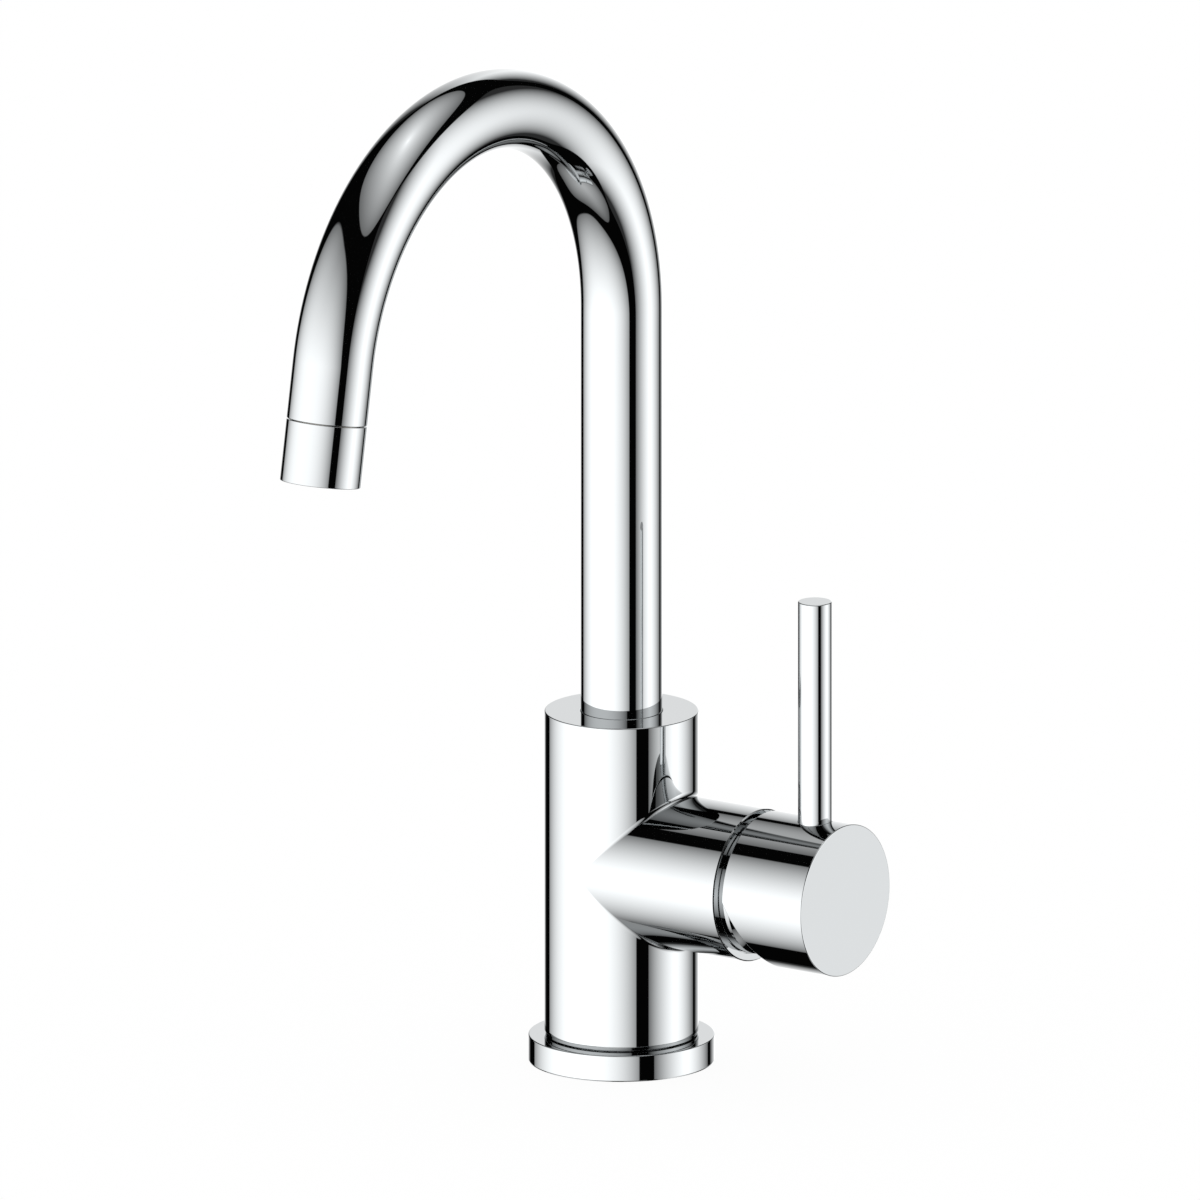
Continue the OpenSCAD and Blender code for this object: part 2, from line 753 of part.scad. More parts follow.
// The collar hides the nut. It is a dome about the tilt pin, so the cap can swing over it.
module trim_collar() {
  skirt_r = mouth_r - seat_fit;
  skirt_bore_r = nut_corner_r + free_gap;
  throat_r = collar_r - collar_wall;
  color("gainsboro") along_branch() rotate_extrude() difference() {
    union() {
      intersection() {
        translate([0, pivot_z]) circle(r = dome_r);
        translate([0, chamber_l]) square([collar_r, dome_r]);
      }
      translate([0, collar_z]) square([skirt_r, chamber_l - collar_z + over]);
    }
    intersection() {
      translate([0, pivot_z]) circle(r = dome_r - collar_wall);
      translate([0, chamber_l + collar_wall]) square([throat_r, dome_r]);
    }
    translate([0, collar_z - over]) square([skirt_bore_r, chamber_l + collar_wall + 2 * over - collar_z]);
    square([collar_hole_r, pivot_z + dome_r + over]);
  }
}

// The part of the cap's mouth that is cut away below the axis, so that the handle can tilt
module cap_relief() {
  reach = body_d;
  translate([0, body_r + over, cap_z]) rotate([90, 0, 0]) linear_extrude(body_d + 2 * over)
    polygon([[0, 0], [0, -reach], [-reach, -reach], [-reach, reach * tan(relief_angle)]]);
}

// What stands inside the cap: the hub on the stem and the bosses of the rod and the grub screw
module cap_hub() {
  intersection() {
    union() {
      cylinder(r = hub_r, h = cap_top_z - over);
      translate([0, 0, rod_z]) rotate([0, 90, 0]) cylinder(r = rod_r + rod_boss_wall, h = body_r);
      translate([0, 0, rod_z]) rotate([0, -90, 0]) cylinder(r = plug_d / 2 + plug_boss_wall, h = body_r);
    }
    translate([0, 0, hub_z]) cylinder(r = cap_bore_r + cap_wall / 2, h = cap_top_z - over - hub_z);
  }
}

module handle_cap() {
  socket_w = stem_w + 2 * seat_fit;
  color("gainsboro") along_branch() difference() {
    union() {
      difference() {
        translate([0, 0, cap_z]) turned(body_r, cap_l, edge, edge);
        translate([0, 0, cap_z - over]) cylinder(r = cap_bore_r, h = cap_l - cap_end + over);
        cap_relief();
      }
      cap_hub();
    }
    translate([-socket_w / 2, -socket_w / 2, hub_z - over])
      cube([socket_w, socket_w, stem_tip_z + stem_tip_gap - hub_z + over]);
    translate([0, 0, rod_z]) rotate([0, 90, 0]) {
      translate([0, 0, stud_tip_x - stud_tip_gap]) cylinder(r = stud_r + seat_fit, h = body_r);
      translate([0, 0, rod_seat_x]) cylinder(r = rod_r + seat_fit, h = rod_seat + over);
    }
    translate([0, 0, rod_z]) rotate([0, -90, 0]) {
      cylinder(r = grub_d / 2 + seat_fit, h = body_r + over);
      translate([0, 0, plug_seat_x]) cylinder(r = plug_d / 2 + seat_fit, h = body_r);
    }
  }
}

// The grub screw comes up from below and bears on the square stem
module grub_screw() {
  color("silver") translate([rod_x, 0, branch_z - stem_w / 2]) rotate([180, 0, 0]) difference() {
    cylinder(d = grub_d, h = grub_l);
    translate([0, 0, grub_l]) key_recess(grub_d / 2, key_depth);
  }
}

module screw_plug() {
  color("gray") translate([rod_x, 0, branch_z - plug_seat_x]) rotate([180, 0, 0])
    cylinder(d = plug_d, h = body_r - plug_seat_x - plug_sink);
}

module lever_rod() {
  color("gainsboro") translate([rod_x, 0, branch_z]) union() {
    translate([0, 0, rod_seat_x]) turned(rod_r, rod_seat + rod_l, 0, edge);
    translate([0, 0, stud_tip_x]) cylinder(r = stud_r, h = rod_seat_x - stud_tip_x + over);
  }
}

base_flange();
base_gasket();
faucet_body();
keeper_screw();
spout_stem();
lower_slip_ring();
upper_slip_ring();
spout_o_rings();
spout_tube();
tip_adapter();
aerator_washer();
aerator_screen();
aerator_core();
aerator_shell();
cartridge_base();
inlet_seals();
outlet_seal();
fixed_disc();
moving_disc();
disc_carrier();
turret();
tilt_pin();
control_stem();
cartridge_shell();
cartridge_nut();
trim_collar();
handle_cap();
grub_screw();
screw_plug();
lever_rod();
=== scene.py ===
"""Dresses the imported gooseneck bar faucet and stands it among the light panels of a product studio.

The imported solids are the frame. The chrome pieces whose edges and fillets catch the light are built again
here as surfaces on grids; every other solid keeps its shape and gets its finish. Lengths in the classes are
in millimetres.
"""

import json
import logging
import math
from collections.abc import Sequence
from dataclasses import dataclass, field
from enum import Enum

import bmesh
import bpy
import numpy as np
from mathutils import Matrix, Vector


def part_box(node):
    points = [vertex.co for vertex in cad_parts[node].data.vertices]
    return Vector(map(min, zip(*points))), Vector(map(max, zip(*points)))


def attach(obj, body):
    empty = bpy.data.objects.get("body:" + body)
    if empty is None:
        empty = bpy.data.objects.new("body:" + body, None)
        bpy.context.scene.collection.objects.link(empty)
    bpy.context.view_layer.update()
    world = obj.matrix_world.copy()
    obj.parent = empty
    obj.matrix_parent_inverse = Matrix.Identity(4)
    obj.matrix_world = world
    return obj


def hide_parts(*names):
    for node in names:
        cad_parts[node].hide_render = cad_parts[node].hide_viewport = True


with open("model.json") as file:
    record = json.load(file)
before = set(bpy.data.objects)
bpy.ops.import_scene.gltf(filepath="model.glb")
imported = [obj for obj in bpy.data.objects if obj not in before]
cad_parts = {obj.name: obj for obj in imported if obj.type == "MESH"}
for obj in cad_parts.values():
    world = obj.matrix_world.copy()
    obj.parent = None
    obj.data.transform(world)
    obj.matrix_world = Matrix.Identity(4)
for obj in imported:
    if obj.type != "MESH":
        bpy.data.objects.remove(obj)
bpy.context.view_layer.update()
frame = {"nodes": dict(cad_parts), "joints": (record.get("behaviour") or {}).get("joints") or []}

LOG = logging.getLogger("faucet")
MM = 0.001
WELD = 2e-6
TINY_ANGLE = 1e-6
TRUE_NORMAL = "true_normal"
WHITE = (1.0, 1.0, 1.0, 1.0)

Array = np.ndarray
Corner = tuple[float, float, float]


# ------------------------------------------------------------------------------ shader arithmetic


class Shade:
    """A shader socket that takes arithmetic: each operator adds one Math node behind it."""

    def __init__(self, graph: "Graph", socket: bpy.types.NodeSocket) -> None:
        """Keeps the graph that the socket belongs to.

        Args:
            graph: the node graph.
            socket: an output socket of one of its nodes.
        """
        self.graph = graph
        self.socket = socket

    def math(self, operation: str, *others: "Shade | float") -> "Shade":
        """Adds a Math node with this socket as its first value.

        Args:
            operation: the Math node's operation.
            others: its further values.

        Returns:
            The node's result.
        """
        return self.graph.math(operation, self, *others)

    def __add__(self, other: "Shade | float") -> "Shade":
        """This plus other."""
        return self.math("ADD", other)

    __radd__ = __add__

    def __sub__(self, other: "Shade | float") -> "Shade":
        """This minus other."""
        return self.math("SUBTRACT", other)

    def __rsub__(self, other: "Shade | float") -> "Shade":
        """Other minus this."""
        return self.graph.math("SUBTRACT", other, self)

    def __mul__(self, other: "Shade | float") -> "Shade":
        """This times other."""
        return self.math("MULTIPLY", other)

    __rmul__ = __mul__

    def __truediv__(self, other: "Shade | float") -> "Shade":
        """This over other."""
        return self.math("DIVIDE", other)

    def __rtruediv__(self, other: "Shade | float") -> "Shade":
        """Other over this."""
        return self.graph.math("DIVIDE", other, self)

    def __pow__(self, other: "Shade | float") -> "Shade":
        """This to the power of other."""
        return self.math("POWER", other)

    def __abs__(self) -> "Shade":
        """This without its sign."""
        return self.math("ABSOLUTE")

    def clamp(self, low: float = 0.0, high: float = 1.0) -> "Shade":
        """This, held between low and high."""
        return self.math("MAXIMUM", low).math("MINIMUM", high)

    def above(self, start: float, gain: float) -> "Shade":
        """How far this lies above a start, times a gain; nothing below the start."""
        return (self - start).clamp() * gain


class Graph:
    """The nodes of one material or of the world."""

    MIX_FACTOR = 0
    MIX_COLOUR_A = 6
    MIX_COLOUR_B = 7
    MIX_COLOUR_OUT = 2

    def __init__(self, tree: bpy.types.NodeTree) -> None:
        """Empties the tree, to fill it anew.

        Args:
            tree: the node tree of a material or a world.
        """
        self.tree = tree
        tree.nodes.clear()

    def node(
        self,
        kind: str,
        settings: dict[str, object] | None = None,
        sockets: dict[str | int, object] | None = None,
    ) -> bpy.types.Node:
        """Adds a node.

        Args:
            kind: the node's type.
            settings: its settings, set first; "stops" holds a ramp's (position, colour) pairs.
            sockets: values or links of its input sockets, by name or number.

        Returns:
            The node.
        """
        made = self.tree.nodes.new(kind)
        for name, value in (settings or {}).items():
            if name == "stops":
                self._set_stops(made.color_ramp, value)
            else:
                setattr(made, name, value)
        for name, value in (sockets or {}).items():
            if isinstance(value, Shade):
                self.tree.links.new(value.socket, made.inputs[name])
            else:
                made.inputs[name].default_value = value
        return made

    @staticmethod
    def _set_stops(ramp: bpy.types.ColorRamp, stops: Sequence[tuple[float, tuple]]) -> None:
        """Gives a ramp its stops.

        Args:
            ramp: a ramp with its two stops as made.
            stops: two or more (position, colour) pairs.
        """
        while len(ramp.elements) < len(stops):
            ramp.elements.new(1.0)
        for element, (position, colour) in zip(ramp.elements, stops):
            element.position = position
            element.color = colour

    def out(self, node: bpy.types.Node, name: str | int = 0) -> Shade:
        """An output socket of a node, ready for arithmetic."""
        return Shade(self, node.outputs[name])

    def math(self, operation: str, *values: Shade | float) -> Shade:
        """Adds a Math node.

        Args:
            operation: its operation.
            values: its values in order.

        Returns:
            Its result.
        """
        return self.out(self.node("ShaderNodeMath", {"operation": operation}, dict(enumerate(values))))

    def dot(self, vector: Shade, direction: Sequence[float]) -> Shade:
        """The share of a vector along a direction.

        Args:
            vector: a vector socket.
            direction: three numbers.

        Returns:
            The dot product of both.
        """
        sockets = {0: vector, 1: tuple(direction)}
        return self.out(self.node("ShaderNodeVectorMath", {"operation": "DOT_PRODUCT"}, sockets), "Value")

    def place(self) -> Shade:
        """Object coordinates, in metres in the part's own frame."""
        return self.out(self.node("ShaderNodeTexCoord"), "Object")

    def stretched(self, scale: Sequence[float]) -> Shade:
        """Object coordinates, scaled along X, Y and Z.

        Args:
            scale: the three factors.

        Returns:
            The scaled coordinates.
        """
        made = self.node("ShaderNodeMapping", None, {"Vector": self.place(), "Scale": tuple(scale)})
        return self.out(made)

    def noise(self, vector: Shade, size_mm: float, detail: float = 2.0) -> Shade:
        """Soft noise from 0 to 1.

        Args:
            vector: where it is read.
            size_mm: the width of its largest blots.
            detail: how many finer octaves it has.

        Returns:
            The noise.
        """
        sockets = {"Vector": vector, "Scale": 1.0 / (size_mm * MM), "Detail": detail}
        return self.out(self.node("ShaderNodeTexNoise", None, sockets), "Fac")

    def colour_mix(self, factor: Shade | float, first: tuple | Shade, second: tuple | Shade) -> Shade:
        """A colour between two.

        Args:
            factor: 0 for the first, 1 for the second.
            first: the first colour.
            second: the second colour.

        Returns:
            The mixed colour.
        """
        sockets = {self.MIX_FACTOR: factor, self.MIX_COLOUR_A: first, self.MIX_COLOUR_B: second}
        return self.out(self.node("ShaderNodeMix", {"data_type": "RGBA"}, sockets), self.MIX_COLOUR_OUT)

    def bump(self, height: Shade, depth_mm: float) -> Shade:
        """A normal that follows a height.

        Args:
            height: the height, from 0 to 1.
            depth_mm: how deep the relief from 0 to 1 is.

        Returns:
            The normal.
        """
        sockets = {"Height": height, "Distance": depth_mm * MM, "Strength": 1.0}
        return self.out(self.node("ShaderNodeBump", None, sockets), "Normal")


def opaque(colour: Sequence[float], gain: float = 1.0) -> tuple[float, float, float, float]:
    """A colour with its brightness changed and full alpha.

    Args:
        colour: red, green and blue, linear.
        gain: the factor on all three.

    Returns:
        Red, green, blue and alpha.
    """
    red, green, blue = (min(1.0, part * gain) for part in colour)
    return red, green, blue, 1.0


# ------------------------------------------------------------------------------ finishes


class Turned(Enum):
    """The axis round which the tool marks of a turned piece run."""

    NONE = (0.0, 0.0, 0.0)
    UPRIGHT = (0.0, 0.0, 1.0)
    BRANCH = (1.0, 0.0, 0.0)
    TIP = (0.0, -0.18395, -0.98294)


@dataclass(frozen=True)
class Finish:
    """What every finish has; each kind of finish adds how its surface varies."""

    name: str
    slot: str
    colour: tuple[float, float, float]
    roughness: float
    metallic: float = 0.0

    def surface(self, graph: Graph) -> dict[str, object]:
        """The sockets of the Principled shader that this finish sets.

        Args:
            graph: the material's nodes.

        Returns:
            Values and links by socket name.
        """
        raise NotImplementedError

    def uneven(self, noise: Shade, spread: float) -> Shade:
        """The roughness, raised and lowered by a noise about its middle."""
        return self.roughness + spread * (noise - 0.5)

    def material(self) -> bpy.types.Material:
        """Makes the material.

        Returns:
            The new material.
        """
        made = bpy.data.materials.new(self.name)
        made.use_nodes = True
        graph = Graph(made.node_tree)
        sockets = {"Metallic": self.metallic, **self.surface(graph)}
        shader = graph.node("ShaderNodeBsdfPrincipled", None, sockets)
        graph.node("ShaderNodeOutputMaterial", None, {"Surface": graph.out(shader)})
        made.diffuse_color = opaque(self.colour)
        return made


@dataclass(frozen=True)
class PolishedChrome(Finish):
    """Bright plated chrome: a cool mirror with a trace of buffing haze and of dried water."""

    haze: float = 0.025
    haze_size: float = 9.0
    haze_start: float = 0.5
    haze_gain: float = 2.0
    buffing_size: float = 0.5
    buffing_stretch: float = 0.06
    film: float = 0.985
    film_size: float = 22.0
    ripple_size: float = 30.0
    ripple_depth: float = 0.0006
    edge_tint: float = 0.78

    def surface(self, graph: Graph) -> dict[str, object]:
        """Roughness rises in blots of haze and fine buffing lines; the tint dulls where a film has dried.

        Args:
            graph: the material's nodes.

        Returns:
            Values and links by socket name.
        """
        place = graph.place()
        blots = graph.noise(place, self.haze_size, detail=3.0).above(self.haze_start, self.haze_gain)
        brushed = graph.stretched((1.0, 1.0, self.buffing_stretch))
        buffing = graph.noise(brushed, self.buffing_size, detail=1.0)
        film = graph.noise(place, self.film_size, detail=4.0)
        ripple = graph.noise(place, self.ripple_size, detail=0.0)
        return {
            "Base Color": graph.colour_mix(film, opaque(self.colour), opaque(self.colour, self.film)),
            "Roughness": self.roughness + self.haze * blots * buffing,
            "Normal": graph.bump(ripple, self.ripple_depth),
            "Specular Tint": opaque((self.edge_tint,) * 3),
        }


@dataclass(frozen=True)
class TurnedMetal(Finish):
    """Bare machined metal: fine tool rings along its axis, mottled colour and uneven shine."""

    turned: Turned = Turned.NONE
    pitch: float = 0.25
    ring_share: float = 0.3
    groove_depth: float = 0.004
    grain_size: float = 0.6
    grain_share: float = 0.35
    unevenness: float = 0.14
    stain: tuple[float, float, float] = (0.5, 0.5, 0.5)
    stain_size: float = 7.0
    stain_start: float = 0.35
    stain_gain: float = 1.6

    def surface(self, graph: Graph) -> dict[str, object]:
        """Rings are a sine of the distance along the axis; stains and shine follow two noises.

        Args:
            graph: the material's nodes.

        Returns:
            Values and links by socket name.
        """
        place = graph.place()
        grain = graph.noise(place, self.grain_size, detail=3.0)
        stain = graph.noise(place, self.stain_size, detail=4.0).above(self.stain_start, self.stain_gain)
        relief = grain
        if self.turned is not Turned.NONE:
            rings = graph.dot(place, self.turned.value) * (2 * math.pi / (self.pitch * MM))
            relief = self.grain_share * grain + self.ring_share * rings.math("SINE") + self.ring_share
        return {
            "Base Color": graph.colour_mix(stain, opaque(self.colour), opaque(self.stain)),
            "Roughness": self.uneven(grain, self.unevenness),
            "Normal": graph.bump(relief, self.groove_depth),
        }


@dataclass(frozen=True)
class MouldedPlastic(Finish):
    """Injection-moulded plastic: a fine spark-eroded grain, slow shine and a slightly uneven shade."""

    grain_size: float = 0.35
    grain_depth: float = 0.006
    unevenness: float = 0.12
    flow_size: float = 11.0
    flow_stretch: float = 0.4
    shade: float = 0.9

    def surface(self, graph: Graph) -> dict[str, object]:
        """The grain is a fine noise; flow marks of the melt change the shade over centimetres.

        Args:
            graph: the material's nodes.

        Returns:
            Values and links by socket name.
        """
        grain = graph.noise(graph.place(), self.grain_size, detail=2.0)
        flow = graph.noise(graph.stretched((1.0, 1.0, self.flow_stretch)), self.flow_size, detail=3.0)
        return {
            "Base Color": graph.colour_mix(flow, opaque(self.colour), opaque(self.colour, self.shade)),
            "Roughness": self.uneven(grain, self.unevenness),
            "Normal": graph.bump(grain, self.grain_depth),
        }


@dataclass(frozen=True)
class SealRubber(Finish):
    """Black sealing rubber: matt, a little grey with talc, with a pebbled skin."""

    talc: tuple[float, float, float] = (0.09, 0.09, 0.088)
    talc_size: float = 5.0
    talc_start: float = 0.4
    talc_gain: float = 2.0
    skin_size: float = 0.45
    skin_depth: float = 0.012
    unevenness: float = 0.1

    def surface(self, graph: Graph) -> dict[str, object]:
        """Talc gathers in the peaks of a soft noise; the pebbled skin is a fine one.

        Args:
            graph: the material's nodes.

        Returns:
            Values and links by socket name.
        """
        place = graph.place()
        patches = graph.noise(place, self.talc_size, detail=4.0).above(self.talc_start, self.talc_gain)
        skin = graph.noise(place, self.skin_size, detail=3.0)
        return {
            "Base Color": graph.colour_mix(patches, opaque(self.colour), opaque(self.talc)),
            "Roughness": self.uneven(skin, self.unevenness),
            "Normal": graph.bump(skin, self.skin_depth),
        }


@dataclass(frozen=True)
class LappedCeramic(Finish):
    """Lapped alumina: nearly white, glossy, with faint grey specks of the sintered grain."""

    speck: tuple[float, float, float] = (0.66, 0.65, 0.62)
    speck_size: float = 0.4
    speck_start: float = 0.62
    speck_gain: float = 6.0
    lapping_size: float = 0.3
    lapping_stretch: float = 0.05
    lapping_depth: float = 0.0008
    lapping_haze: float = 0.08

    def surface(self, graph: Graph) -> dict[str, object]:
        """Specks are the peaks of a fine noise; lapping leaves hair lines in the shine.

        Args:
            graph: the material's nodes.

        Returns:
            Values and links by socket name.
        """
        peaks = graph.noise(graph.place(), self.speck_size, detail=1.0) - self.speck_start
        specks = (peaks * self.speck_gain).clamp()
        drawn = graph.stretched((1.0, self.lapping_stretch, 1.0))
        lapping = graph.noise(drawn, self.lapping_size, detail=1.0)
        return {
            "Base Color": graph.colour_mix(specks, opaque(self.colour), opaque(self.speck)),
            "Roughness": self.roughness + self.lapping_haze * lapping,
            "Normal": graph.bump(lapping, self.lapping_depth),
        }


CHROME = PolishedChrome("polished_chrome", "chrome", (0.558, 0.575, 0.583), 0.02, 1.0)
BRASS_UPRIGHT, BRASS_BRANCH = (
    TurnedMetal(name, "brass", (0.62, 0.42, 0.16), 0.26, 1.0, turned, stain=(0.44, 0.27, 0.1))
    for name, turned in (("turned_brass_upright", Turned.UPRIGHT), ("turned_brass_branch", Turned.BRANCH))
)
PLATED_TIP = TurnedMetal(
    "nickelled_brass_tip", "brass", (0.42, 0.41, 0.39), 0.22, 1.0, Turned.TIP, stain=(0.34, 0.32, 0.28)
)
STEEL = TurnedMetal("machined_steel", "steel", (0.5, 0.5, 0.49), 0.3, 1.0, stain=(0.38, 0.37, 0.36))
RUBBER = SealRubber("seal_rubber", "rubber", (0.022, 0.022, 0.023), 0.72)
ACETAL = MouldedPlastic("bearing_plastic", "acetal", (0.72, 0.7, 0.62), 0.42)
CORE_PLASTIC = MouldedPlastic("aerator_plastic", "aerator_plastic", (0.64, 0.66, 0.67), 0.34)
PLUG_PLASTIC = MouldedPlastic("plug_plastic", "plug_plastic", (0.19, 0.2, 0.21), 0.36)
CERAMIC = LappedCeramic("lapped_ceramic", "ceramic", (0.85, 0.84, 0.8), 0.1)


class Wardrobe:
    """Makes each finish's material once and puts it on pieces."""

    def __init__(self) -> None:
        """Starts with no material made."""
        self.made: dict[str, bpy.types.Material] = {}

    def wear(self, finish: Finish, *pieces: bpy.types.Object) -> None:
        """Puts a finish on pieces.

        Args:
            finish: the finish.
            pieces: CAD nodes or new pieces.
        """
        if finish.name not in self.made:
            self.made[finish.name] = finish.material()
        for piece in pieces:
            if not piece.material_slots:
                piece.data.materials.append(None)
            for material_slot in piece.material_slots:
                material_slot.link = "OBJECT"
                material_slot.material = self.made[finish.name]
            LOG.info("%s wears %s", piece.name, finish.name)

    def wear_nodes(self, finish: Finish, *names: str) -> None:
        """Puts a finish on CAD nodes by name."""
        self.wear(finish, *(frame["nodes"][name] for name in names))


# ------------------------------------------------------------------------------ studio


FAINTEST = 0.02
HORIZON = 1e-4


@dataclass(frozen=True)
class WallPanel:
    """A light panel that stands round the faucet, a rounded rectangle in azimuth and elevation.

    Angles are in degrees; the azimuth is counted from the photograph's own side, to the right. The panel is
    brightest at its centre and fades to its sides and its ends, as a softbox does, but never below FAINTEST.
    """

    azimuth: float
    elevation: float
    half_width: float
    half_height: float
    squareness: float
    level: float
    side_fade: float
    side_power: float
    end_fade: float
    end_power: float

    def light(self, graph: Graph, azimuth: Shade, elevation: Shade, crispness: float) -> Shade:
        """With u and v the shares of the half width and half height, the panel is where (u^n + v^n) < 1.

        Args:
            graph: the world's nodes; not used.
            azimuth: the direction's azimuth in radians.
            elevation: the direction's elevation in radians.
            crispness: how steeply the edge cuts off.

        Returns:
            The light from that direction.
        """
        turned = (azimuth - math.radians(self.azimuth)).math("WRAP", math.pi, -math.pi)
        side = abs(turned) / math.radians(self.half_width)
        end = abs(elevation - math.radians(self.elevation)) / math.radians(self.half_height)
        reach = (side**self.squareness + end**self.squareness) ** (1.0 / self.squareness)
        inside = ((1.0 - reach) * crispness).clamp()
        fall = 1.0 - self.side_fade * side**self.side_power - self.end_fade * end**self.end_power
        return inside * self.level * fall.clamp(FAINTEST, 1.0)


@dataclass(frozen=True)
class FlatPanel:
    """A light panel overhead or underfoot, a rounded rectangle on a plane one unit above or below.

    A direction meets the plane where its level shares are divided by its upward one, which is held over
    HORIZON.
    """

    overhead: bool
    along_centre: float
    across_centre: float
    half_along: float
    half_across: float
    squareness: float
    level: float
    fade: float
    power: float

    def light(self, graph: Graph, along: Shade, across: Shade, height: Shade, crispness: float) -> Shade:
        """With u and v the shares of both half widths and q = (u^n + v^n)^(1/n), the panel is where q < 1.

        Args:
            graph: the world's nodes; not used.
            along: the direction's share along the panel.
            across: its share across the panel.
            height: its upward share.
            crispness: how steeply the edge cuts off.

        Returns:
            The light from that direction.
        """
        upward = height if self.overhead else 0.0 - height
        plane = upward.math("MAXIMUM", HORIZON)
        u = abs(along / plane - self.along_centre) / self.half_along
        v = abs(across / plane - self.across_centre) / self.half_across
        reach = (u**self.squareness + v**self.squareness) ** (1.0 / self.squareness)
        inside = ((1.0 - reach) * crispness).clamp() * upward.math("GREATER_THAN", 0.0)
        return inside * self.level * (1.0 - self.fade * reach**self.power).clamp(FAINTEST, 1.0)


